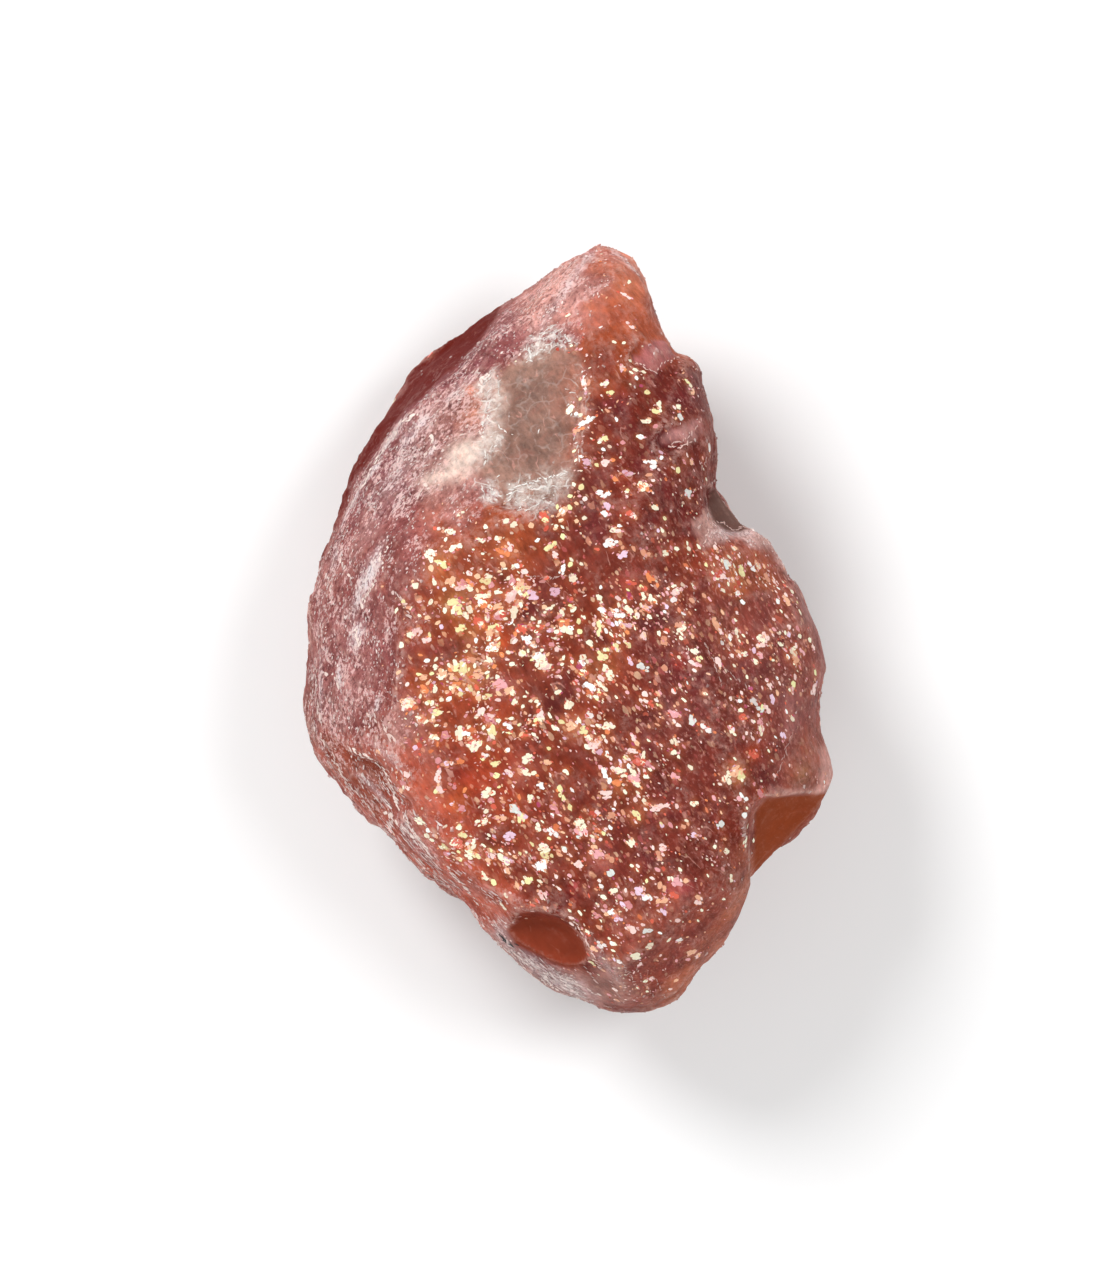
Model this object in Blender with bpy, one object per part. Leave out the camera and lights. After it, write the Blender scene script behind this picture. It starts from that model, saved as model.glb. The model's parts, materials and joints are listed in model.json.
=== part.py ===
"""Rough sunstone, one natural piece of feldspar as it was broken from the rock.

It lies on the flat cleavage face of its back, with the glittering face up. X runs to the
right and Y up the face, Z is up, and the origin is under the middle of the stone, on the
surface that it lies on. All sizes below are millimetres.
"""

import math

import bmesh
import bpy
import numpy as np
from mathutils import Vector, noise
from mathutils.bvhtree import BVHTree

MM = 0.001

# Driving sizes
LENGTH = 48.0
WIDTH = 33.2
HEIGHT = 20.6
BASE_CUT = 0.45
CENTRE = (1.4, -0.6)

# The widest line of the stone, counter-clockwise from its right-hand side: x, y and height
OUTLINE = (
    # right-hand lobe, up to its frosted shoulder
    (16.3, -0.6, 11.0), (15.9, 1.1, 11.0), (15.0, 2.9, 11.0), (14.2, 3.5, 11.0),
    (12.9, 5.7, 11.5), (11.2, 6.5, 11.5),
    # deeper layer that shows in the notch
    (10.7, 7.2, 11.0), (10.0, 8.2, 11.0),
    # upper right-hand lump
    (9.4, 9.5, 11.5), (9.5, 12.0, 12.0), (9.4, 14.0, 12.0), (8.6, 16.2, 12.0),
    (7.7, 17.0, 12.5), (6.8, 17.2, 12.5),
    # peak
    (5.8, 19.4, 12.5), (5.5, 21.0, 12.5), (4.6, 22.4, 12.5), (2.8, 23.7, 12.5),
    (1.6, 24.0, 12.0), (0.3, 23.7, 11.0),
    # long flank behind the frosted rim
    (-1.4, 22.4, 10.0), (-3.4, 21.0, 8.5), (-5.8, 19.6, 7.5), (-8.3, 17.9, 7.0),
    (-10.3, 15.9, 6.5), (-11.7, 13.9, 6.5), (-12.7, 11.8, 7.0), (-14.1, 7.8, 7.5),
    # left-hand side
    (-15.5, 4.2, 8.5), (-16.1, 1.9, 9.0), (-16.6, -1.5, 9.0), (-16.6, -4.5, 9.0),
    (-15.7, -7.5, 9.0), (-14.9, -8.9, 9.5),
    # long straight run down to the left
    (-13.5, -10.9, 10.0), (-10.1, -14.6, 10.5), (-8.8, -15.9, 10.5), (-5.9, -17.9, 10.5),
    (-4.5, -19.4, 10.5), (-1.5, -22.4, 10.5),
    # foot
    (0.3, -23.2, 10.5), (2.4, -23.8, 10.5), (5.1, -24.0, 10.5), (6.1, -23.5, 10.5),
    # lower right-hand side
    (7.9, -22.0, 10.5), (10.7, -19.0, 10.5), (11.6, -17.2, 10.0), (11.9, -15.6, 9.5),
    # chipped corner
    (12.7, -14.5, 9.0), (14.4, -13.2, 9.0), (16.0, -10.9, 10.0),
    (16.6, -9.1, 10.5), (16.4, -7.6, 11.0), (16.1, -6.2, 11.0), (16.4, -2.6, 11.0),
)

# Fracture faces of the glittering side: a point on each, the way it falls and how steeply
FRONT_FACES = (
    # x, y, z, direction, dip in degrees
    (0.0, -2.0, 20.4, -60.0, 3.0),      # main face
    (2.5, 12.0, 19.6, 82.0, 16.0),      # rise to the peak
    (-2.0, 8.0, 20.9, 120.0, 26.0),     # clear window and haze
    (-7.2, 12.8, 17.6, 139.0, 46.0),    # frosted slope, upper left
    (0.5, 19.4, 17.6, 133.0, 33.0),     # frosted side of the peak
    (4.4, 20.5, 16.9, 42.0, 34.0),      # peach side of the peak
    (-10.4, 0.0, 20.7, 177.0, 40.0),    # frosted slope, left
    (-8.6, -12.5, 20.2, 207.0, 44.0),   # frosted slope, lower left
    (-2.5, -18.6, 18.6, 238.0, 42.0),   # foot
    (9.4, -16.4, 19.4, -52.0, 40.0),    # lower right-hand edge
    (9.6, -1.0, 20.15, 17.0, 14.0),     # right-hand lobe
    (7.4, 12.5, 18.9, 14.0, 24.0),      # upper right-hand lump
    (-8.9, 14.4, 15.4, 132.0, 76.0),    # long flank, upper part
    (-13.0, 9.4, 15.2, 151.0, 76.0),    # long flank, lower part
    (-15.6, -2.0, 16.2, 180.0, 76.0),   # left-hand flank
    (-14.0, -8.8, 16.4, 219.0, 70.0),   # lower left-hand flank
)
FRONT_EDGE_ROUNDING = 0.35

# Broken faces of the back, each rising away from the flat one that the stone lies on
BACK_FACES = (
    # x, y, z, direction, rise in degrees
    (8.6, -1.0, 0.0, 3.0, 55.0),
    (5.6, 9.0, 0.0, 40.0, 40.0),
    (0.5, 14.0, 0.0, 97.0, 34.0),
    (-6.6, 8.4, 0.0, 150.0, 36.0),
    (-10.4, -1.5, 0.0, 184.0, 57.0),
    (-7.2, -9.6, 0.0, 228.0, 44.0),
    (1.0, -16.2, 0.0, 264.0, 51.0),
    (6.6, -11.2, 0.0, 314.0, 41.0),
)
BACK_EDGE_ROUNDING = 0.5

# How square the sides are above and below the widest line, and the least rise from it
FRONT_FULLNESS = 4.6
BACK_FULLNESS = 3.4
LEAST_RISE = 0.9

# Places where a flake has come away: corners, then a point of its floor, the way the floor
# falls, its dip, and the slope of the wall around it
CHIPS = (
    # notch in the right-hand side, which bares the deeper layer
    (((8.7, 9.4), (8.9, 7.6), (9.2, 6.9), (9.9, 6.3), (10.7, 6.2), (11.4, 6.5), (13.5, 6.0),
      (13.0, 9.5), (10.5, 10.5)),
     (9.4, 7.4, 15.0), 42.0, 36.0, 78.0),
    # bevel along the top of the right-hand lobe
    (((8.4, 5.0), (8.6, 6.2), (9.4, 6.8), (11.3, 6.4), (12.4, 5.8), (16.0, 4.0), (18.0, 8.0),
      (10.0, 8.0), (7.8, 7.0)),
     (10.6, 4.4, 19.4), 70.0, 38.0, 50.0),
    # chipped corner under the right-hand lobe
    (((11.9, -15.6), (11.9, -11.4), (12.5, -10.6), (16.3, -10.4), (19.0, -12.0), (16.0, -18.0)),
     (12.3, -10.9, 16.6), -44.0, 50.0, 80.0),
    # small facet over the upper right-hand lump
    (((3.8, 16.5), (4.2, 17.5), (4.9, 18.1), (6.5, 18.3), (7.3, 17.2), (6.0, 16.7), (5.6, 15.9),
      (4.7, 16.2)),
     (5.4, 17.0, 16.35), 62.0, 22.0, 76.0),
    # small pit on the upper right-hand lump
    (((6.2, 11.4), (7.2, 11.3), (8.0, 12.2), (8.5, 13.3), (7.4, 12.7), (6.3, 12.2)),
     (7.2, 12.2, 17.8), 20.0, 20.0, 70.0),
    # clear window in the upper face
    (((-3.4, 16.9), (-4.8, 14.4), (-5.2, 11.9), (-5.3, 9.4), (-4.5, 8.0), (-2.3, 7.4),
      (-0.3, 8.0), (0.6, 9.4), (0.4, 11.9), (1.0, 15.0), (0.5, 17.0), (-1.4, 17.8)),
     (-2.2, 12.4, 18.4), 120.0, 25.0, 72.0),
    # step in the lower left-hand slope
    (((-14.8, -6.7), (-13.6, -7.5), (-12.6, -7.9), (-11.7, -8.2), (-11.2, -9.1), (-10.6, -10.0),
      (-9.9, -10.8), (-10.8, -11.6), (-12.2, -11.2), (-13.8, -9.6), (-15.4, -8.0)),
     (-12.4, -8.5, 16.2), 214.0, 46.0, 76.0),
    # hollow in the foot
    (((-4.2, -18.2), (-2.9, -17.9), (-1.4, -17.9), (-0.3, -17.6), (0.4, -18.2), (1.1, -19.4),
      (1.9, -20.5), (2.4, -21.4), (1.4, -22.1), (-0.4, -21.5), (-2.3, -20.3), (-3.7, -19.4)),
     (-0.4, -19.2, 16.0), 226.0, 30.0, 74.0),
)
CHIP_ROUNDING = 0.15

# Shell-shaped scars of old knocks around the sides and the back: compass direction from the
# middle, angle above the level, radius of the shell and its depth
SCARS = (
    (-38.0, -10.0, 22.0, 0.6),
    (-70.0, -26.0, 16.0, 0.7),
    (-106.0, -14.0, 26.0, 0.6),
    (-142.0, -28.0, 20.0, 0.9),
    (-168.0, -16.0, 15.0, 0.7),
    (164.0, -32.0, 18.0, 0.9),
    (140.0, -4.0, 30.0, 0.6),
    (116.0, -22.0, 17.0, 0.8),
    (84.0, -18.0, 24.0, 0.8),
    (52.0, -28.0, 19.0, 0.9),
    (14.0, -14.0, 14.0, 0.7),
    (-8.0, -36.0, 21.0, 0.9),
)
SCAR_MIDDLE = Vector((0.5, 0.0, 10.5))

# Rolling of the broken surface: wavelength and depth of each layer
ROLLS = ((9.0, 0.36), (4.2, 0.2), (1.9, 0.1))
ROLL_SEED = Vector((3.7, 11.2, 5.9))

# Small flakes that leave shallow dishes with sharp ridges between them: size and depth of a
# dish, and how much of that the glittering face has
FLAKE_SIZE = 4.6
FLAKE_DEPTH = 0.55
FLAKE_ON_FACE = 0.15

# Mesh
AROUND = 420
UP_FRONT = 70
UP_BACK = 50
VOXEL = 0.3
TRIANGLES = 9700


def tan_degrees(angle):
    return math.tan(math.radians(angle))


def spline(points, steps=14):
    """A closed smooth curve through points, as an array of steps points for each one."""
    p = np.array(points)
    before, after, later = np.roll(p, 1, 0), np.roll(p, -1, 0), np.roll(p, -2, 0)
    t = (np.arange(steps) / steps)[None, :, None]
    a, b, c, d = (q[:, None, :] for q in (before, p, after, later))
    curve = 0.5 * (2 * b + (c - a) * t + (2 * a - 5 * b + 4 * c - d) * t**2
                   + (3 * b - a - 3 * c + d) * t**3)
    return curve.reshape(-1, p.shape[1])


def outline_at(angles):
    """Distance from CENTRE to the widest line, and that line's height, in each direction."""
    curve = spline(OUTLINE)
    x, y = curve[:, 0] - CENTRE[0], curve[:, 1] - CENTRE[1]
    direction = np.arctan2(y, x)
    turn = 2 * math.pi
    radius = np.interp(angles, direction, np.hypot(x, y), period=turn)
    height = np.interp(angles, direction, curve[:, 2], period=turn)
    return radius, height


def slope(x, y, face, sign):
    """Height over x, y of a plane that falls (sign -1) or rises (sign 1) in its direction."""
    px, py, pz, direction, dip = face
    way = math.radians(direction)
    run = (x - px) * math.cos(way) + (y - py) * math.sin(way)
    return pz + sign * tan_degrees(dip) * run


def smooth_lower(a, b, rounding):
    """The lower of two heights, with the edge where they meet rounded off."""
    share = np.clip(0.5 + 0.5 * (b - a) / rounding, 0, 1)
    return b + (a - b) * share - rounding * share * (1 - share)


def distance_outside(x, y, corners):
    """Distance from each x, y to the outline of a polygon, negative inside it."""
    nearest = np.full(x.shape, 1e9)
    inside = np.zeros(x.shape, bool)
    for (ax, ay), (bx, by) in zip(corners, corners[1:] + corners[:1]):
        along = ((x - ax) * (bx - ax) + (y - ay) * (by - ay)) / ((bx - ax) ** 2 + (by - ay) ** 2)
        along = np.clip(along, 0, 1)
        nearest = np.minimum(nearest, np.hypot(x - ax - along * (bx - ax), y - ay - along * (by - ay)))
        if ay != by:
            crosses = (ay > y) != (by > y)
            inside ^= crosses & (x < ax + (y - ay) * (bx - ax) / (by - ay))
    return np.where(inside, -nearest, nearest)


def front_height(x, y):
    """Height of the glittering side, before its chips."""
    height = slope(x, y, FRONT_FACES[0], -1)
    for face in FRONT_FACES[1:]:
        height = smooth_lower(height, slope(x, y, face, -1), FRONT_EDGE_ROUNDING)
    return height


def back_height(x, y):
    """Height of the back: the flat face, and the broken ones that rise from it."""
    height = np.zeros(x.shape)
    for face in BACK_FACES:
        height = -smooth_lower(-height, -slope(x, y, face, 1), BACK_EDGE_ROUNDING)
    return height


def chipped(x, y, height):
    """Lowers the front where flakes have come away."""
    for corners, (px, py, pz), direction, dip, wall in CHIPS:
        floor = slope(x, y, (px, py, pz, direction, dip), -1)
        cut = floor + tan_degrees(wall) * np.maximum(distance_outside(x, y, corners), 0)
        height = smooth_lower(height, cut, CHIP_ROUNDING)
    return height


def sheet_points(angles, shares, fullness, roof, top):
    """Points of the front (top True) or back sheet, one ring for each share of the radius."""
    angle, share = np.meshgrid(angles, shares)
    radius, girdle = outline_at(angle)
    x = CENTRE[0] + radius * share * np.cos(angle)
    y = CENTRE[1] + radius * share * np.sin(angle)
    fill = (1 - share**fullness) ** (1 / fullness)
    if top:
        rise = np.maximum(roof(x, y) - girdle, LEAST_RISE) * fill
        floor = girdle + np.minimum(rise, LEAST_RISE * fill)
        z = np.maximum(chipped(x, y, girdle + rise), floor)
    else:
        z = girdle - np.maximum(girdle - roof(x, y), LEAST_RISE) * fill
    return np.stack([x, y, z], axis=-1)


def sphere_like_mesh(name):
    """The whole closed skin: front rings inwards from the widest line, and back rings."""
    angles = np.arange(AROUND) * 2 * math.pi / AROUND
    front_shares = np.sin(np.linspace(math.pi / 2, 0, UP_FRONT + 1))[:-1]
    back_shares = np.sin(np.linspace(math.pi / 2, 0, UP_BACK + 1))[1:-1]
    front = sheet_points(angles, front_shares, FRONT_FULLNESS, front_height, True)
    back = sheet_points(angles, back_shares, BACK_FULLNESS, back_height, False)
    middle = np.array([CENTRE]).T
    crown = (*CENTRE, float(front_height(*middle)[0]))
    bottom = (*CENTRE, float(back_height(*middle)[0]))
    points = [*front.reshape(-1, 3), *back.reshape(-1, 3), crown, bottom]

    def ring(first):
        return [(first + i, first + (i + 1) % AROUND) for i in range(AROUND)]

    faces = []
    for k in range(len(front_shares) - 1):
        low, high = ring(k * AROUND), ring((k + 1) * AROUND)
        faces += [(a, b, d, c) for (a, b), (c, d) in zip(low, high)]
    last_front = (len(front_shares) - 1) * AROUND
    first_back = len(front_shares) * AROUND
    high, low = ring(0), ring(first_back)
    faces += [(b, a, c, d) for (a, b), (c, d) in zip(high, low)]
    for k in range(len(back_shares) - 1):
        high, low = ring(first_back + k * AROUND), ring(first_back + (k + 1) * AROUND)
        faces += [(b, a, c, d) for (a, b), (c, d) in zip(high, low)]
    last_back = first_back + (len(back_shares) - 1) * AROUND
    faces += [(a, b, len(points) - 2) for a, b in ring(last_front)]
    faces += [(b, a, len(points) - 1) for a, b in ring(last_back)]
    mesh = bpy.data.meshes.new(name)
    mesh.from_pydata([tuple(MM * float(c) for c in p) for p in points], [], faces)
    return mesh


def apply_modifier(obj, kind, **settings):
    """Adds a modifier and keeps its result as the object's mesh."""
    modifier = obj.modifiers.new(kind.title(), kind)
    for key, value in settings.items():
        setattr(modifier, key, value)
    graph = bpy.context.evaluated_depsgraph_get()
    result = bpy.data.meshes.new_from_object(obj.evaluated_get(graph))
    obj.modifiers.clear()
    obj.data = result


def roll_surface(mesh):
    """Moves each point along its normal by the rolling and the small flakes of the surface."""
    points = [v.co.copy() for v in mesh.vertices]
    normals = [n.vector.copy() for n in mesh.vertex_normals]
    for vertex, point, normal in zip(mesh.vertices, points, normals):
        place = point / MM
        depth = sum(d * noise.noise(place / w + ROLL_SEED) for w, d in ROLLS)
        nearest = noise.voronoi(place / FLAKE_SIZE + ROLL_SEED)[0][0]
        steepness = min(max((0.93 - normal.z) / 0.25, 0), 1)
        depth += FLAKE_DEPTH * (nearest**2 - 0.5) * (FLAKE_ON_FACE + (1 - FLAKE_ON_FACE) * steepness)
        vertex.co = point + normal * depth * MM


def knock_scars(mesh):
    """Presses each shell of SCARS into the surface, where a ray from the middle comes out."""
    for direction, angle, radius, depth in SCARS:
        way, rise = math.radians(direction), math.radians(angle)
        ray = Vector((math.cos(way) * math.cos(rise), math.sin(way) * math.cos(rise), math.sin(rise)))
        tree = BVHTree.FromPolygons([v.co for v in mesh.vertices], [p.vertices[:] for p in mesh.polygons])
        place, normal, _, _ = tree.ray_cast(SCAR_MIDDLE * MM, ray)
        centre = place + normal * (radius - depth) * MM
        for vertex in mesh.vertices:
            reach = vertex.co - centre
            if reach.length < radius * MM:
                vertex.co = centre + reach.normalized() * radius * MM


def rest_flat(mesh):
    """Cuts the back along the cleavage face that the stone lies on, and sets it at height 0."""
    bm = bmesh.new()
    bm.from_mesh(mesh)
    cut = bmesh.ops.bisect_plane(
        bm, geom=bm.verts[:] + bm.edges[:] + bm.faces[:],
        plane_co=(0, 0, BASE_CUT * MM), plane_no=(0, 0, -1), clear_outer=True)
    rim = [e for e in cut["geom_cut"] if isinstance(e, bmesh.types.BMEdge)]
    bmesh.ops.contextual_create(bm, geom=rim)
    for vertex in bm.verts:
        vertex.co.z -= BASE_CUT * MM
    bmesh.ops.recalc_face_normals(bm, faces=bm.faces[:])
    bmesh.ops.triangulate(bm, faces=bm.faces[:])
    bm.to_mesh(mesh)
    bm.free()


def to_driving_sizes(mesh):
    """Puts the origin under the middle, and brings the stone to its length, width and height."""
    points = np.empty(len(mesh.vertices) * 3)
    mesh.vertices.foreach_get("co", points)
    points = points.reshape(-1, 3)
    low, high = points.min(0), points.max(0)
    points -= [(low[0] + high[0]) / 2, (low[1] + high[1]) / 2, low[2]]
    points *= np.array([WIDTH, LENGTH, HEIGHT]) * MM / (high - low)
    mesh.vertices.foreach_set("co", points.ravel())


def feldspar():
    material = bpy.data.materials.new("red_feldspar")
    material.use_nodes = True
    shader = material.node_tree.nodes["Principled BSDF"]
    shader.inputs["Base Color"].default_value = (0.36, 0.10, 0.06, 1)
    shader.inputs["Roughness"].default_value = 0.42
    shader.inputs["Metallic"].default_value = 0.0
    return material


def sunstone():
    obj = bpy.data.objects.new("sunstone", sphere_like_mesh("sunstone"))
    bpy.context.scene.collection.objects.link(obj)
    apply_modifier(obj, "REMESH", mode="VOXEL", voxel_size=VOXEL * MM)
    knock_scars(obj.data)
    roll_surface(obj.data)
    ratio = TRIANGLES / (2 * len(obj.data.polygons))
    apply_modifier(obj, "DECIMATE", decimate_type="COLLAPSE", ratio=ratio, use_collapse_triangulate=True)
    rest_flat(obj.data)
    to_driving_sizes(obj.data)
    obj.data.materials.clear()
    obj.data.materials.append(feldspar())
    obj.data.shade_smooth()
    obj.data.set_sharp_from_angle(angle=math.radians(35))
    return obj


for old in list(bpy.data.objects):
    bpy.data.objects.remove(old)
sunstone()
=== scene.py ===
"""Looks of the rough sunstone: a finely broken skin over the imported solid, the spangles in
it, a pale floor, soft studio light and a camera that looks straight down on the stone.

The skin follows the same recipe as the solid, with a finer mesh and more fine relief.
All sizes are millimetres, unless a name or a comment says otherwise.
"""

import json
import math

import bmesh
import bpy
import numpy as np
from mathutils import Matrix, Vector, noise
from mathutils.bvhtree import BVHTree
from mathutils.kdtree import KDTree

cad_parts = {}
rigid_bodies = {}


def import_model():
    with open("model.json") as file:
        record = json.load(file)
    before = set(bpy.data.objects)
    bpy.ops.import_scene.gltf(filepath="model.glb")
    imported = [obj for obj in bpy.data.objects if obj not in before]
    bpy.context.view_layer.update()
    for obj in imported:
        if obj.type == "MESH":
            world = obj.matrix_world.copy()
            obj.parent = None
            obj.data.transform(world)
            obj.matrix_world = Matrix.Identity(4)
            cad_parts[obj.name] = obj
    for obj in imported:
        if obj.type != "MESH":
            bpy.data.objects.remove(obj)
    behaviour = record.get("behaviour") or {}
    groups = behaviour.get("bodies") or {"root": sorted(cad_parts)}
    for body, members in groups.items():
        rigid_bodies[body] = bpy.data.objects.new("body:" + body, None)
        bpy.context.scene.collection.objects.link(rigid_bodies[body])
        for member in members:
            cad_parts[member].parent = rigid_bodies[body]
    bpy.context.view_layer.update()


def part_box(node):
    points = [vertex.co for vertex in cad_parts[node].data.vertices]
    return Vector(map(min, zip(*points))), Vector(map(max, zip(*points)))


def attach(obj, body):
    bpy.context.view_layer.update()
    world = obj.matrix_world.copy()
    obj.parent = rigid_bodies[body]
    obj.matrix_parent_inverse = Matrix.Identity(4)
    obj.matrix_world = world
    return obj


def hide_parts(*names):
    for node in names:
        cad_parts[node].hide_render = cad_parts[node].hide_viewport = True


MM = 0.001
NODE = "sunstone"

# Shape of the stone, as in the solid
BASE_CUT = 0.45
CENTRE = (1.4, -0.6)

# The widest line of the stone, counter-clockwise from its right-hand side: x, y and height
OUTLINE = (
    # right-hand lobe, up to its frosted shoulder
    (16.3, -0.6, 11.0), (15.9, 1.1, 11.0), (15.0, 2.9, 11.0), (14.2, 3.5, 11.0),
    (12.9, 5.7, 11.5), (11.2, 6.5, 11.5),
    # deeper layer that shows in the notch
    (10.7, 7.2, 11.0), (10.0, 8.2, 11.0),
    # upper right-hand lump
    (9.4, 9.5, 11.5), (9.5, 12.0, 12.0), (9.4, 14.0, 12.0), (8.6, 16.2, 12.0),
    (7.7, 17.0, 12.5), (6.8, 17.2, 12.5),
    # peak
    (5.8, 19.4, 12.5), (5.5, 21.0, 12.5), (4.6, 22.4, 12.5), (2.8, 23.7, 12.5),
    (1.6, 24.0, 12.0), (0.3, 23.7, 11.0),
    # long flank behind the frosted rim
    (-1.4, 22.4, 10.0), (-3.4, 21.0, 8.5), (-5.8, 19.6, 7.5), (-8.3, 17.9, 7.0),
    (-10.3, 15.9, 6.5), (-11.7, 13.9, 6.5), (-12.7, 11.8, 7.0), (-14.1, 7.8, 7.5),
    # left-hand side
    (-15.5, 4.2, 8.5), (-16.1, 1.9, 9.0), (-16.6, -1.5, 9.0), (-16.6, -4.5, 9.0),
    (-15.7, -7.5, 9.0), (-14.9, -8.9, 9.5),
    # long straight run down to the left
    (-13.5, -10.9, 10.0), (-10.1, -14.6, 10.5), (-8.8, -15.9, 10.5), (-5.9, -17.9, 10.5),
    (-4.5, -19.4, 10.5), (-1.5, -22.4, 10.5),
    # foot
    (0.3, -23.2, 10.5), (2.4, -23.8, 10.5), (5.1, -24.0, 10.5), (6.1, -23.5, 10.5),
    # lower right-hand side
    (7.9, -22.0, 10.5), (10.7, -19.0, 10.5), (11.6, -17.2, 10.0), (11.9, -15.6, 9.5),
    # chipped corner
    (12.7, -14.5, 9.0), (14.4, -13.2, 9.0), (16.0, -10.9, 10.0),
    (16.6, -9.1, 10.5), (16.4, -7.6, 11.0), (16.1, -6.2, 11.0), (16.4, -2.6, 11.0),
)

# Fracture faces of the glittering side: a point on each, the way it falls and how steeply
FRONT_FACES = (
    # x, y, z, direction, dip in degrees
    (0.0, -2.0, 20.4, -60.0, 3.0),      # main face
    (2.5, 12.0, 19.6, 82.0, 16.0),      # rise to the peak
    (-2.0, 8.0, 20.9, 120.0, 26.0),     # clear window and haze
    (-7.2, 12.8, 17.6, 139.0, 46.0),    # frosted slope, upper left
    (0.5, 19.4, 17.6, 133.0, 33.0),     # frosted side of the peak
    (4.4, 20.5, 16.9, 42.0, 34.0),      # peach side of the peak
    (-10.4, 0.0, 20.7, 177.0, 40.0),    # frosted slope, left
    (-8.6, -12.5, 20.2, 207.0, 44.0),   # frosted slope, lower left
    (-2.5, -18.6, 18.6, 238.0, 42.0),   # foot
    (9.4, -16.4, 19.4, -52.0, 40.0),    # lower right-hand edge
    (9.6, -1.0, 20.15, 17.0, 14.0),     # right-hand lobe
    (7.4, 12.5, 18.9, 14.0, 24.0),      # upper right-hand lump
    (-8.9, 14.4, 15.4, 132.0, 76.0),    # long flank, upper part
    (-13.0, 9.4, 15.2, 151.0, 76.0),    # long flank, lower part
    (-15.6, -2.0, 16.2, 180.0, 76.0),   # left-hand flank
    (-14.0, -8.8, 16.4, 219.0, 70.0),   # lower left-hand flank
)
FRONT_EDGE_ROUNDING = 0.3

# Broken faces of the back, each rising away from the flat one that the stone lies on
BACK_FACES = (
    # x, y, z, direction, rise in degrees
    (8.6, -1.0, 0.0, 3.0, 55.0),
    (5.6, 9.0, 0.0, 40.0, 40.0),
    (0.5, 14.0, 0.0, 97.0, 34.0),
    (-6.6, 8.4, 0.0, 150.0, 36.0),
    (-10.4, -1.5, 0.0, 184.0, 57.0),
    (-7.2, -9.6, 0.0, 228.0, 44.0),
    (1.0, -16.2, 0.0, 264.0, 51.0),
    (6.6, -11.2, 0.0, 314.0, 41.0),
)
BACK_EDGE_ROUNDING = 0.5

# How square the sides are above and below the widest line, and the least rise from it
FRONT_FULLNESS = 4.6
BACK_FULLNESS = 3.4
LEAST_RISE = 0.9

# Regions of the glittering side, as outlines in x and y
NOTCH = ((9.0, 8.5), (8.9, 7.6), (9.2, 6.9), (9.9, 6.3), (10.7, 6.2), (11.4, 6.5), (13.5, 6.0),
         (13.0, 8.6), (10.0, 8.7))
LOBE_TOP = ((8.4, 5.8), (8.6, 6.3), (9.4, 6.8), (11.3, 6.4), (12.4, 5.8), (16.0, 4.0), (18.0, 8.0),
            (10.0, 8.0), (7.8, 7.0))
FLANK = ((-4.2, 19.6), (-6.8, 16.4), (-10.3, 13.5), (-12.0, 11.2), (-13.1, 9.5), (-14.9, 6.0),
         (-16.0, 3.2), (-19.0, 5.0), (-19.0, 22.0), (-4.0, 24.0))
CORNER = ((11.9, -15.6), (11.9, -11.4), (12.5, -10.6), (16.3, -10.4), (19.0, -12.0), (16.0, -18.0))
FACET = ((4.0, 17.0), (4.8, 17.7), (6.1, 17.8), (6.8, 17.0), (5.8, 16.3), (5.6, 15.9), (4.9, 16.2),
         (4.1, 16.4))
PIT = ((6.1, 11.9), (7.1, 12.5), (8.2, 13.1), (8.3, 12.6), (7.8, 12.0), (7.3, 11.3), (6.4, 11.25))
WINDOW = ((-3.4, 16.9), (-4.8, 14.4), (-5.2, 11.9), (-5.3, 9.4), (-4.5, 8.0), (-2.3, 7.4), (-0.3, 8.0),
          (0.6, 9.4), (0.4, 11.9), (1.0, 15.0), (0.5, 17.0), (-1.4, 17.8))
STEP = ((-14.8, -6.7), (-13.6, -7.5), (-12.6, -7.9), (-11.7, -8.2), (-11.2, -9.1), (-10.6, -10.0),
        (-9.9, -10.8), (-10.8, -11.6), (-12.2, -11.2), (-13.8, -9.6), (-15.4, -8.0))
SCOOP = ((-3.3, -18.6), (-2.6, -18.2), (-1.6, -18.1), (-0.5, -18.2), (0.2, -18.7), (0.65, -19.4),
         (0.9, -20.1), (0.4, -20.5), (-0.4, -20.4), (-1.3, -20.0), (-2.2, -19.6), (-2.9, -19.2))

# Places where a flake came away: outline, point of its floor, way the floor falls, dip, slope of the wall
CHIPS = (
    (NOTCH, (9.4, 7.4, 15.0), 42.0, 36.0, 78.0),
    (LOBE_TOP, (10.6, 4.4, 19.4), 70.0, 38.0, 50.0),
    (CORNER, (12.3, -10.9, 16.6), -44.0, 50.0, 80.0),
    (FACET, (5.4, 17.0, 16.9), 62.0, 24.0, 64.0),
    (PIT, (7.2, 12.2, 18.3), 20.0, 20.0, 34.0),
    (WINDOW, (-2.2, 12.4, 18.6), 120.0, 25.0, 62.0),
    (STEP, (-12.4, -8.5, 16.2), 214.0, 46.0, 76.0),
    (SCOOP, (-0.9, -19.0, 16.85), 226.0, 32.0, 58.0),
)
CHIP_ROUNDING = 0.12

# Shell-shaped scars of old knocks: direction from the middle, angle above the level, radius, depth
SCARS = (
    (-38.0, -10.0, 22.0, 0.6),
    (-70.0, -26.0, 16.0, 0.7),
    (-106.0, -14.0, 26.0, 0.6),
    (-142.0, -28.0, 20.0, 0.9),
    (-168.0, -16.0, 15.0, 0.7),
    (164.0, -32.0, 18.0, 0.9),
    (140.0, -4.0, 30.0, 0.2),
    (116.0, -22.0, 17.0, 0.8),
    (84.0, -18.0, 24.0, 0.8),
    (52.0, -28.0, 19.0, 0.9),
    (14.0, -14.0, 14.0, 0.7),
    (-8.0, -36.0, 21.0, 0.9),
)
SCAR_MIDDLE = Vector((0.5, 0.0, 10.5))

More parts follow.
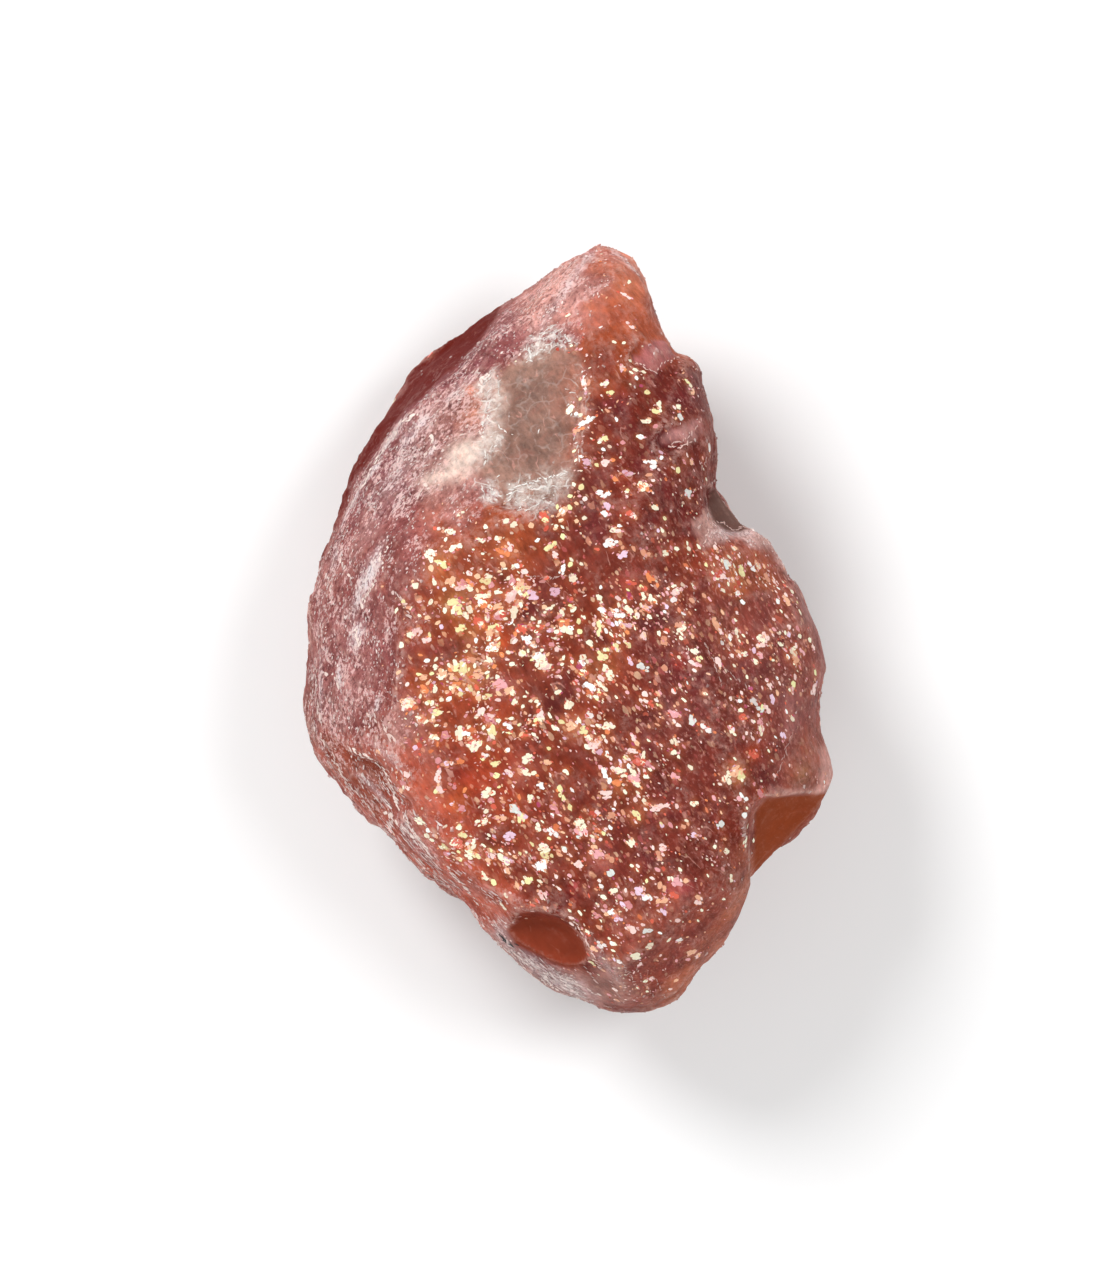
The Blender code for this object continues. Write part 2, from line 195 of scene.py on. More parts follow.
# Rolling of the broken surface: wavelength and depth of each layer
ROLLS = ((9.0, 0.36), (4.2, 0.2), (1.9, 0.1))
ROLL_SEED = Vector((3.7, 11.2, 5.9))

# Small flakes that leave shallow dishes with sharp ridges between them
FLAKE_SIZE = 4.6
FLAKE_DEPTH = 0.55
FLAKE_ON_FACE = 0.15

# Mesh of the skin
AROUND = 560
UP_FRONT = 110
UP_BACK = 70
VOXEL = 0.224

# Fine relief that only the skin has: wavelength and depth of each layer
FACE_GRAIN = ((0.95, 0.026), (0.5, 0.014))
FROST_GRAIN = ((1.1, 0.08), (0.5, 0.06))
FROST_STRETCH = Vector((0.7, 1.0, 1.0))
GRAIN_SEED = Vector((17.3, 2.1, 8.8))

# Direction of the grain in degrees on the upper, the middle and the lower part of the slopes
LIE_OF_FROST = (48.0, 74.0, 128.0)

# From which y to which the upper and the lower direction take over
UPPER_SLOPES = (3.0, 8.0)
LOWER_SLOPES = (-7.0, -12.0)

# Steps of the cleavage on the slopes and the sides, with the flat and the steep share of each
STEP_SIZE = 3.2
STEP_COUNT = 5.0
STEP_HEIGHT = 0.13
STEP_STRETCH = Vector((0.8, 0.8, 1.9))
STEP_TREAD = 0.72
STEP_RISER = 0.28

# Noise that varies the finish: wavelength and seed, and how it is stretched
BACK_PATCHES = (7.0, Vector((4.4, 0.3, 9.9)))
BROWN_PATCHES = (5.0, Vector((1.2, 8.4, 6.6)))
STONE_DRIFT = (1.9, Vector((2.7, 5.3, 8.1)))
FROST_DRIFT = (2.2, Vector((6.3, 1.1, 4.2)), Vector((0.7, 1, 1)))
GRAIN_PATCHES = (1.3, Vector((6.1, 6.2, 6.3)))
SPANGLE_CROWDS = (2.6, Vector((2.2, 7.1, 4.6)))

# Heights from which and to which the finish of the front and of the flank take over
FRONT_HEIGHTS = (8.0, 12.0)
FLANK_HEIGHTS = (5.0, 7.0)

# Edges that stand out this far from the surface, once it is smoothed so often, are fully bruised
BRUISE_HEIGHT = 0.05
BRUISE_ROUNDS = 5

# Colours as a screen shows them, matched to the photograph: red, green, blue to 255
TERRACOTTA = (128, 50, 34)
BRICK = (106, 34, 26)
BROWN_RED = (114, 46, 37)
ORANGE_BROWN = (164, 78, 46)
ROSE_BROWN = (134, 66, 58)
PEACH_STONE = (214, 120, 87)
AMBER_STONE = (148, 64, 34)
MAUVE = (160, 92, 88)
# deep red of the long flank, darkened with painted shade
SHADED_DEEP_RED = (92, 18, 10)
CLEAR_BROWN = (154, 117, 103)
CLEAR_DARK = (138, 101, 88)
HAZE = (238, 214, 200)
FROST_WHITE = (240, 220, 214)
CRACK_WHITE = (246, 240, 234)
STREAK_WHITE = (216, 190, 192)
AMBER = (136, 60, 28)
SCOOP_RED = (130, 54, 34)
# grey-brown of the deeper layer in the notch, darkened with painted shade
SHADED_CHUNK = (104, 74, 66)
DUSTY_BROWN = (140, 88, 74)
RUST = (158, 66, 40)
WINE = (94, 34, 42)
ROSE_SHADE = (134, 66, 68)
ROSE_PALE = (206, 150, 144)
VEIL_ROSE = (170, 98, 84)
BURIED_CRACK = (216, 156, 142)
STROKE_ROSE = (204, 136, 126)
BARE_GRAIN = (124, 60, 54)
# painted shade in the gaps between the frost's grains
GAP_SHADE = (92, 44, 46)
PALE_GRAIN = (228, 188, 184)
WHITE_GRAIN = (246, 238, 238)
BRUISE = (226, 186, 174)
# fine glitter: tints of tiny platelets, partly painted glint
FINE_GLITTER = ((250, 208, 172), (236, 160, 132), (214, 106, 82), (246, 190, 172), (208, 104, 104),
                (240, 180, 140))

# Layers of fine glitter: size, share of the places that have some, seed, strength
GLITTER_LAYERS = ((0.46, 0.34, 3.1, 0.55), (0.3, 0.36, 0.0, 0.66), (0.19, 0.26, 7.7, 0.4))

# Outlines of zones of colour
FROSTED = ((2.2, 25.0), (0.6, 19.6), (-1.4, 18.0), (-3.6, 17.0), (-5.0, 14.4), (-5.6, 9.6), (-5.4, 8.1),
           (-8.6, 6.2), (-9.8, 3.7), (-10.4, 0.6), (-10.75, -3.1), (-10.6, -6.9), (-9.8, -10.0),
           (-8.6, -12.5), (-7.6, -15.0), (-4.2, -17.8), (-6.0, -24.0), (-25.0, -22.0), (-25.0, 25.0))
CLOUDED = ((-9.0, 9.2), (-7.9, 10.4), (-6.9, 11.3), (-5.6, 12.2), (-4.8, 12.6), (-4.5, 11.6),
           (-5.0, 10.5), (-6.1, 9.8), (-7.3, 9.2), (-8.3, 8.7))
PEAK = ((0.6, 19.0), (2.2, 25.0), (8.0, 25.0), (7.4, 17.4), (4.0, 17.5), (1.0, 16.8))
LOBE = ((8.5, 5.8), (12.0, 5.5), (16.5, 2.0), (16.8, -9.5), (12.8, -9.8), (11.4, -3.8), (9.0, -1.6))
LOBE_RIM = ((8.2, 5.4), (8.6, 6.4), (9.6, 6.9), (11.3, 6.8), (12.8, 6.2), (14.8, 4.4), (13.9, 3.4),
            (12.2, 4.9), (10.2, 5.6))
LOWER_SLOPE = ((-16.5, -6.5), (-9.5, -7.0), (-3.0, -17.0), (-4.6, -20.0), (-14.5, -11.0))
TONGUE = ((0.9, 18.2), (3.6, 18.4), (4.0, 14.8), (1.0, 14.4))
SCOOP_RIM = ((-4.2, -18.4), (-2.4, -20.6), (1.4, -21.4), (2.4, -20.0), (4.4, -22.4), (0.0, -24.5),
             (-6.0, -20.4))
FOOT = ((-2.0, -16.4), (4.0, -16.4), (10.0, -14.0), (13.0, -16.0), (8.0, -26.0), (-4.0, -26.0))
LUMP = ((1.2, 16.2), (9.4, 17.0), (10.0, 8.5), (8.2, 6.4), (4.0, 6.0), (1.4, 8.0))
ORANGE_PATCH = ((-9.6, 7.4), (-5.5, 8.6), (-2.0, 7.2), (-2.0, 4.0), (-5.0, 1.6), (-9.6, 2.5))

# Zones of colour of the bare stone: outline, colour, strength, softness of the edge
ZONES = (
    (LUMP, BRICK, 0.75, 2.0),
    (ORANGE_PATCH, ORANGE_BROWN, 0.9, 1.8),
    (((-9.9, 2.4), (-4.0, 1.6), (-1.4, -4.0), (-5.0, -8.0), (-10.0, -7.0)), (150, 66, 42), 0.7, 2.5),
    (((-9.6, -6.6), (-2.5, -7.4), (-1.5, -10.5), (-5.5, -12.5), (-8.8, -11.5)),
     (150, 52, 31), 0.75, 2.0),
    (((3.0, 4.0), (8.5, 2.0), (12.4, -3.5), (11.0, -9.5), (6.5, -9.0), (4.0, -3.0)),
     (110, 46, 40), 0.8, 3.0),
    (((1.0, -10.5), (10.0, -10.0), (10.6, -15.0), (5.6, -17.0), (0.0, -16.0)), (110, 42, 34), 0.7, 2.5),
    (((3.0, -17.2), (11.0, -15.0), (13.0, -18.0), (6.0, -25.0), (2.4, -22.0)), (150, 72, 58), 0.8, 2.2),
    (((10.9, -13.6), (13.0, -15.0), (11.6, -19.0), (6.0, -24.8), (4.6, -23.8), (8.0, -20.2), (9.9, -17.0)),
     (176, 98, 70), 0.8, 0.9),
    (LOBE, ROSE_BROWN, 0.85, 1.6),
    (((8.6, 5.1), (12.0, 4.9), (13.2, 3.4), (12.4, 2.4), (9.0, 2.6)), (166, 84, 56), 0.7, 1.1),
    (((14.2, 3.5), (16.4, 0.0), (17.0, -9.0), (15.2, -9.0), (15.0, -2.0)), (152, 86, 76), 0.6, 1.2),
    (((14.0, -6.2), (16.8, -6.6), (16.8, -10.4), (12.6, -10.4)), (154, 84, 66), 0.7, 0.9),
    (((12.6, -9.7), (16.8, -9.4), (16.8, -10.5), (12.4, -10.6)), (186, 134, 124), 0.7, 0.4),
    (PEAK, PEACH_STONE, 0.95, 1.0),
    (((2.2, 20.6), (6.4, 20.4), (7.6, 16.8), (1.4, 16.6)), (164, 76, 48), 0.9, 1.6),
    (TONGUE, AMBER_STONE, 0.9, 1.1),
)

# The same for the frosted stone and the chips, over the others
FROST_ZONES = (
    # upper-left crest: the frost's mauve, darkened towards purple with painted shade
    (((-2.0, 18.4), (-9.8, 11.4), (-12.2, 6.0), (-14.0, 6.0), (-13.0, 12.0), (-5.0, 21.0)),
     (142, 84, 90), 0.7, 1.8),
    (((0.8, 19.4), (-2.4, 18.4), (-3.0, 21.5), (1.2, 24.4)), (234, 170, 158), 0.9, 1.2),
    (((-5.0, 14.8), (-8.6, 13.8), (-9.8, 10.2), (-8.4, 7.2), (-5.4, 8.2)), (200, 150, 140), 0.6, 1.6),
    (CLOUDED, HAZE, 0.9, 1.3),
    (((-6.4, 15.2), (-4.9, 15.5), (-5.1, 13.4), (-6.6, 12.9)), (222, 146, 120), 0.85, 0.9),
    (((-15.4, 0.5), (-11.8, 2.0), (-11.2, -1.6), (-12.8, -5.6), (-15.6, -5.0)),
     (164, 100, 100), 0.6, 1.8),
    (((-12.0, -5.6), (-8.6, -5.0), (-7.4, -10.6), (-9.2, -12.6), (-12.6, -9.0)),
     (176, 110, 96), 0.6, 1.6),
    (LOWER_SLOPE, (188, 86, 60), 0.85, 1.2),
    (WINDOW, CLEAR_BROWN, 0.98, 0.7),
    (((-3.8, 15.6), (-0.4, 15.8), (0.2, 12.2), (-0.8, 10.2), (-3.9, 10.4), (-4.2, 12.8)),
     CLEAR_DARK, 0.75, 1.1),
    (((-5.4, 15.2), (-4.3, 16.2), (-3.8, 13.8), (-4.1, 11.2), (-5.4, 10.6)), (190, 162, 150), 0.8, 0.7),
    (((-0.6, 16.6), (1.4, 16.4), (1.4, 10.2), (0.2, 9.6), (-0.1, 13.0)), (160, 92, 72), 0.6, 1.2),
    (SCOOP_RIM, (164, 116, 106), 0.85, 0.9),
    (STEP, (158, 76, 54), 0.85, 0.5),
    (((-20.0, 6.0), (-16.0, 4.0), (-15.9, -8.0), (-14.5, -8.6), (-20.0, -14.0)), DUSTY_BROWN, 0.8, 0.5),
    (LOBE_TOP, (200, 156, 146), 0.85, 0.5),
    (LOBE_RIM, (208, 166, 158), 0.85, 0.6),
    (((13.8, -3.6), (14.7, -3.8), (14.4, -6.6), (13.2, -6.4)), (164, 104, 100), 0.75, 0.8),
    (((14.2, 2.6), (15.8, 1.0), (16.2, 0.2), (14.6, 0.4)), (160, 108, 102), 0.75, 0.6),
    (((15.7, -7.2), (16.8, -7.6), (16.8, -10.1), (15.4, -10.1)), (216, 158, 148), 0.8, 0.6),
    (FACET, (166, 98, 96), 0.95, 0.2),
    (PIT, (184, 128, 124), 0.85, 0.5),
    (((12.0, -10.4), (12.9, -10.4), (12.6, -12.2), (12.4, -14.8), (11.6, -15.4), (11.4, -11.4)),
     (172, 104, 88), 0.8, 0.5),
)

# Smooth bare hollows: outline, colour, how far they reach beyond it, and the height where they end
HOLLOWS = (
    # the notch's deeper layer, darkened with painted shade in the recess
    (NOTCH, SHADED_CHUNK, 0.3, 11.6),
    (CORNER, AMBER, 0.4, 8.5),
    (SCOOP, SCOOP_RED, 0.5, 8.5),
)

# Soft pale streaks in the frost, and one painted highlight along the peak's upper right-hand edge: x, y,
# length, width, direction, strength
STREAKS = (
    (-12.4, 3.1, 4.6, 0.7, 67, 0.8), (-12.1, 3.6, 2.0, 0.7, 67, 0.8),
    (-13.05, -0.3, 1.8, 0.7, 75, 0.75), (-14.1, -2.9, 1.2, 0.25, 85, 0.8),
    (-14.5, 4.6, 1.4, 0.6, 70, 0.55), (-11.7, -4.7, 0.9, 0.25, 80, 0.8),
    (-9.4, 12.4, 3.0, 0.8, 50, 0.6), (-8.35, 11.2, 1.5, 0.3, 60, 0.7),
    (-10.9, 12.1, 3.2, 0.25, 48, 0.9), (-12.1, 10.1, 1.6, 0.25, 55, 0.9),
    (-13.6, 7.6, 3.4, 0.2, 62, 0.6), (-6.6, 15.0, 2.4, 0.5, 48, 0.5),
    (-9.5, -12.5, 3.6, 1.5, -50, 0.26), (-12.0, -9.9, 3.0, 0.35, -42, 0.6),
    (-0.9, -21.5, 6.0, 1.3, -33, 0.62), (-3.9, -19.2, 2.4, 0.8, -52, 0.7),
    (2.4, -20.6, 3.0, 0.6, -52, 0.35), (0.7, 22.3, 3.6, 0.5, 55, 0.55), (-0.9, 20.0, 2.8, 0.6, 58, 0.6),
    # the first streak here lies on the peak's upper right-hand edge and is a painted highlight
    (3.6, 23.0, 2.6, 0.3, -40, 0.6), (10.2, 6.1, 2.6, 0.5, 0, 0.7), (-15.3, -3.6, 4.0, 0.2, 92, 0.5),
    (-11.2, -7.6, 2.6, 0.5, -40, 0.5), (-10.2, 9.6, 5.0, 1.9, 58, 0.34),
)

# White crackle in and around the clear window: outline, strength
CRACKLED = (
    (((-3.4, 16.6), (-2.4, 16.4), (-1.2, 17.2), (0.4, 17.4), (0.3, 18.4), (-0.8, 19.1), (-2.6, 17.9)),
     0.85),
    (((-5.6, 15.6), (-4.4, 16.2), (-4.0, 14.4), (-4.6, 12.6), (-3.8, 11.6), (-4.6, 10.2), (-5.8, 10.4)),
     0.7),
    (((-5.6, 9.2), (-4.6, 9.0), (-4.2, 7.8), (-4.8, 7.4), (-5.6, 8.0)), 0.9),
    (((-3.9, 8.9), (-2.2, 9.3), (0.0, 9.9), (0.2, 9.0), (-0.8, 7.4), (-2.6, 6.9), (-3.8, 7.6)), 0.75),
    (((0.3, 16.0), (1.2, 16.0), (1.4, 13.6), (1.2, 10.4), (0.5, 10.4), (0.2, 12.6)), 0.4),
    (((-4.4, 15.8), (0.2, 16.4), (0.4, 9.6), (-4.4, 9.8)), 0.11),
)

# Pale lines where the stone is bruised or a crack shows: points, strength
PALE_LINES = (
    (((-4.9, 18.2), (-6.8, 16.1), (-8.6, 14.7), (-9.6, 13.6)), 0.4),
    (((-9.6, 13.6), (-10.3, 13.1), (-11.2, 12.1), (-12.0, 10.9), (-12.9, 9.3)), 1.0),
    (((-9.8, 13.3), (-10.9, 12.2), (-11.9, 10.7), (-12.6, 9.4)), 0.8),
    (((-12.9, 9.3), (-13.8, 7.6), (-14.7, 5.8)), 0.6), (((-2.6, 3.3), (-1.2, 3.2), (0.5, 3.3)), 0.5),
    (((4.1, 16.5), (4.6, 16.4), (4.9, 16.1), (5.5, 15.9), (5.8, 16.4), (6.2, 16.6), (6.9, 16.9)), 1.0),
    (((8.4, 5.3), (8.7, 6.2), (9.1, 6.7), (9.7, 6.6), (10.3, 6.2), (10.9, 6.4), (11.6, 6.2)), 1.0),
    (((7.7, 2.9), (7.9, 1.6)), 0.2), (((8.2, -0.4), (9.0, -2.0), (9.5, -3.4)), 0.45),
    (((8.8, -1.6), (10.0, -2.6), (11.1, -3.6)), 0.3),
    (((13.9, -6.4), (13.5, -7.5), (12.8, -9.3)), 0.35), (((6.1, 11.3), (6.9, 11.2), (7.6, 11.6)), 1.0),
    (((6.4, 11.5), (7.1, 11.6), (7.8, 12.3), (8.3, 13.0)), 0.7),
    (((7.7, 14.8), (8.3, 15.0), (8.9, 14.8)), 0.9), (((9.4, 11.0), (8.6, 10.6), (8.2, 9.8)), 0.5),
    (((0.3, -17.6), (0.9, -18.6), (1.5, -19.8), (2.1, -21.0)), 1.0),
    (((1.3, -18.4), (2.2, -19.8), (2.8, -21.4)), 0.4), (((1.1, -20.8), (1.9, -21.9)), 0.7),
    (((3.4, -20.7), (4.4, -22.2)), 0.6), (((4.3, -20.9), (5.4, -22.8)), 0.6),
    (((5.2, -21.2), (6.2, -23.0)), 0.5), (((2.6, -21.6), (3.6, -23.2)), 0.5),
    (((3.0, -19.9), (4.0, -21.4)), 0.4), (((1.4, -23.3), (3.0, -23.5)), 0.6),
)

# White cracks in and around the clear window: points, strength
WINDOW_CRACKS = (
    (((-2.4, 17.5), (-2.2, 16.6)), 1.0), (((-2.2, 16.9), (-1.4, 17.4), (-1.05, 17.75)), 1.0),
    (((-1.7, 18.1), (-0.95, 18.9)), 0.9), (((-0.95, 18.75), (-0.55, 19.0)), 0.7),
    (((-1.05, 18.25), (-0.7, 18.55)), 0.6), (((-0.2, 18.25), (0.2, 17.75)), 1.0),
    (((-0.7, 17.9), (0.2, 17.7)), 0.7), (((-4.7, 16.0), (-5.3, 15.1)), 0.8),
    (((-4.2, 15.9), (-4.25, 14.4)), 0.6), (((-4.55, 14.4), (-5.05, 13.4), (-5.3, 12.6)), 0.8),
    (((-4.2, 12.6), (-3.7, 12.1)), 1.0), (((-5.2, 12.9), (-5.1, 11.9)), 1.0),
    (((-5.05, 11.1), (-5.05, 10.0)), 0.8), (((-4.2, 11.9), (-4.05, 11.1)), 0.5),
    (((-5.3, 9.0), (-5.05, 8.1), (-4.4, 7.75)), 0.8), (((-4.7, 8.75), (-4.3, 8.1)), 0.9),
    (((-3.55, 8.6), (-2.95, 8.8), (-1.05, 9.4), (-0.05, 9.6)), 1.0), (((-3.7, 8.25), (-3.4, 8.4)), 1.0),
    (((-2.45, 8.1), (-1.7, 7.75)), 0.8), (((-2.7, 7.25), (-1.7, 7.7)), 1.0),
    (((-0.95, 8.75), (-0.55, 9.0)), 0.8), (((-2.2, 7.05), (-0.7, 7.75), (-0.55, 8.25)), 0.5),
    (((0.95, 15.9), (1.2, 14.75)), 1.0), (((0.7, 12.45), (1.8, 13.1)), 1.0),
    (((0.15, 13.9), (0.2, 13.25)), 0.9), (((0.45, 11.9), (0.75, 10.75), (0.7, 10.25)), 0.6),
    (((-0.05, 14.75), (0.45, 14.6)), 0.6),
)

# Rows of loose pale flakes on the slopes and beside the window: points, strength
LOOSE_FLAKES = (
    (((-9.3, 13.3), (-10.4, 12.9), (-10.75, 12.1), (-11.3, 11.7)), 1.0),
    (((-11.4, 11.4), (-11.7, 10.9), (-11.9, 10.5)), 1.0),
    (((-12.2, 10.0), (-12.4, 9.5), (-12.8, 8.8)), 1.0), (((-8.4, 11.9), (-8.2, 11.1)), 1.0),
    (((-8.9, 10.75), (-8.5, 11.2)), 0.8), (((-6.7, 12.0), (-6.1, 12.1)), 0.8),
    (((-5.4, 12.5), (-5.2, 11.9)), 1.0), (((-4.8, 15.9), (-5.4, 15.5), (-5.25, 14.7)), 1.0),
    (((-8.9, 9.05), (-8.4, 8.6)), 0.7), (((-9.3, 8.1), (-8.8, 8.6)), 0.6),
    (((-5.5, 16.1), (-6.4, 15.6)), 0.6), (((-11.0, 5.1), (-11.5, 4.4), (-11.3, 3.6)), 1.0),
    (((-11.7, 3.1), (-12.3, 2.2), (-12.8, 1.3)), 1.0), (((-13.2, 0.3), (-12.8, -0.9)), 0.9),
    (((-14.3, 4.8), (-13.9, 4.0), (-13.4, 3.1)), 0.7), (((-15.0, 3.6), (-14.6, 2.1)), 0.7),
    (((-15.1, -2.6), (-14.4, -2.8), (-14.0, -3.6)), 0.9),
    (((-15.7, -1.8), (-15.6, -4.0), (-15.3, -5.9)), 0.5),
    (((-10.7, 2.4), (-10.0, 1.6), (-9.5, 0.6)), 0.5),
    (((-12.4, -5.1), (-11.4, -5.7), (-10.5, -6.9)), 0.5),
    (((-15.4, -6.3), (-14.6, -7.8), (-13.7, -9.6)), 0.6),
    (((-13.4, -7.4), (-12.2, -7.9), (-11.3, -8.6), (-10.9, -9.3), (-10.4, -11.1)), 1.0),
    (((-14.3, -8.6), (-13.0, -10.2), (-11.9, -11.6)), 0.6),
    (((-11.3, -11.3), (-10.0, -12.4), (-8.6, -13.4)), 1.0),
    (((-10.1, -11.6), (-9.2, -12.7), (-8.4, -14.1)), 0.9),
    (((-7.4, -14.6), (-6.4, -15.8), (-5.4, -17.2)), 0.8),
    (((-9.9, -13.6), (-8.6, -15.0), (-7.4, -16.0)), 0.6),
    (((-3.6, -20.4), (-2.2, -21.6), (-0.6, -22.4)), 0.8),
    (((-0.2, -21.6), (1.0, -22.2), (2.0, -22.6)), 0.6),
)

# Dark nick at the end of the hollow in the foot: points, strength
DARK_NICKS = (
    (((-4.2, -18.9), (-3.9, -19.3), (-3.6, -19.3), (-3.4, -19.5), (-3.1, -19.5)), 1.0),
    (((-3.9, -19.2), (-3.5, -19.6)), 1.0),
)

# Where the spangles are fewer: outline, softness of the edge, share taken off
THIN_GLITTER = ((LUMP, 2.0, 0.5), (FOOT, 3.0, 0.38), (ORANGE_PATCH, 1.5, 0.45), (TONGUE, 1.0, 0.5))

# Soft spots of colour below the surface: x, y, radius, colour, strength. Most are painted glow: light
# scattered in the stone around bright spangles. The deep red ones are the stone's own colour, the near-black
# one a dark nick
PAINTED_GLOWS_AND_SPOTS = (
    (-3.8, 4.9, 0.8, (236, 140, 88), 0.8), (-3.9, -0.6, 0.7, (214, 84, 44), 0.8),
    (-5.9, -2.6, 1.2, (240, 176, 112), 0.6), (-6.8, -3.3, 0.8, (236, 140, 84), 0.7),
    (-4.1, -3.4, 0.7, (222, 140, 160), 0.6), (-6.8, 1.5, 1.0, (214, 166, 84), 0.55),
    (-5.2, 1.5, 0.6, (228, 120, 66), 0.7), (-8.8, -3.4, 0.7, (226, 122, 66), 0.6),
    (10.4, -8.8, 0.9, (240, 150, 84), 0.85), (11.4, -7.5, 0.8, (206, 78, 46), 0.85),
    (6.8, -15.8, 0.9, (226, 96, 104), 0.75), (10.5, 3.2, 1.0, (214, 132, 74), 0.6),
    (10.8, -5.4, 0.5, (222, 112, 100), 0.7), (6.6, -5.1, 0.9, (190, 118, 122), 0.6),
    (3.8, 2.8, 0.7, (196, 88, 74), 0.6), (-5.4, -9.4, 1.7, (204, 84, 54), 0.65),
    (-6.7, -10.6, 0.9, (204, 98, 46), 0.7), (0.3, -15.9, 0.7, (156, 34, 26), 0.7),
    (3.2, -9.6, 0.8, (222, 128, 74), 0.6), (0.4, -6.0, 0.9, (232, 150, 110), 0.6),
    (-7.9, 4.2, 1.0, (214, 140, 74), 0.5), (-4.6, -6.2, 0.8, (222, 140, 80), 0.5),
    (-2.8, -8.6, 1.2, (214, 120, 100), 0.5), (2.1, -2.2, 1.2, (200, 120, 66), 0.5),
    (4.2, -11.5, 0.8, (206, 118, 66), 0.5), (2.2, -14.1, 1.1, (196, 104, 104), 0.5),
    (3.7, 7.1, 0.6, (214, 96, 72), 0.6), (8.6, 8.8, 1.2, (164, 72, 38), 0.6),
    (-1.6, -0.9, 0.7, (176, 60, 44), 0.5), (7.0, -1.9, 0.8, (176, 54, 36), 0.5),
    (-4.4, -5.0, 1.0, (190, 70, 40), 0.5), (12.2, 2.9, 0.9, (190, 110, 70), 0.5),
    (-3.2, 2.2, 0.8, (206, 120, 112), 0.6), (-5.9, -0.2, 0.9, (206, 150, 92), 0.4),
    (4.9, -18.6, 0.5, (170, 150, 136), 0.6), (3.2, -17.8, 0.5, (160, 124, 130), 0.6),
    (-3.6, -19.4, 0.4, (60, 28, 24), 0.8), (14.6, -8.9, 0.8, (186, 138, 92), 0.6),
)

# Strength of these spots and of the painted glow around each spangle, with its least radius and growth with
# length
PAINTED_GLOW_STRENGTH = 0.6
PAINTED_SPANGLE_GLOW = 0.22
PAINTED_SPANGLE_GLOW_RADIUS = (0.15, 0.35)

# Spangles: seed, how many are drawn at random, and how deep, how proud and how askew a plate sits
SPANGLE_SEED = 20
CLUSTERS = 1100
SMALL_SPANGLES = 2700
PLATE_DEEP = 0.07
PLATE_PROUD = 0.028
PLATE_TILT = 0.05

# Colours of the spangles: the platelets' own tints, brightened with painted glint, and of the stone that
# shows through the dimmer, deep ones
CREAM, YELLOW, WHITE, BLUSH = (253, 249, 220), (244, 238, 176), (254, 255, 250), (254, 222, 214)
PEACH, ORANGE, CORAL = (248, 194, 156), (240, 144, 90), (226, 104, 80)
PINK, MAGENTA, LILAC, TEAL = (244, 180, 184), (190, 84, 124), (242, 212, 232), (226, 232, 226)
DEEP_STONE = (124, 42, 30)

# How fast red, green and blue fade as a spangle's painted glint dims and it lies deeper
GLINT_AND_DEPTH_LOSS = np.array((1.0, 1.5, 1.5))

# Colours of the spangles drawn at random, with the share of each
PALETTES = {
    "middle": ((CREAM, 0.42), (YELLOW, 0.12), (WHITE, 0.1), (BLUSH, 0.14), (PEACH, 0.12), (ORANGE, 0.04),
               (CORAL, 0.03), (LILAC, 0.02)),
    "left": ((CREAM, 0.32), (YELLOW, 0.14), (WHITE, 0.06), (BLUSH, 0.12), (PEACH, 0.16), (ORANGE, 0.06),
             (CORAL, 0.05), (LILAC, 0.02)),
    "right": ((CREAM, 0.26), (YELLOW, 0.04), (WHITE, 0.12), (BLUSH, 0.3), (PEACH, 0.1), (PINK, 0.08),
              (CORAL, 0.03), (MAGENTA, 0.005), (LILAC, 0.03), (TEAL, 0.02)),
    "dim": ((PEACH, 0.3), (ORANGE, 0.1), (CORAL, 0.17), (PINK, 0.36), (MAGENTA, 0.03), (LILAC, 0.04)),
    "small": ((BLUSH, 0.4), (PEACH, 0.16), (CREAM, 0.18), (ORANGE, 0.04), (CORAL, 0.08), (PINK, 0.14)),
}

# Painted glint brightness of the random clusters and the share of each. Below the limit their colours are
# dim
GLINT_BRIGHTNESS = (1.0, 0.85, 0.7)
GLINT_BRIGHTNESS_SHARES = (0.6, 0.22, 0.18)
DIM_LIMIT = 0.8

# Shorter spangles are one plate, and longer ones are a cluster with a plate for each of these areas
SINGLE_PLATE = 0.5
PLATE_AREA = 0.055

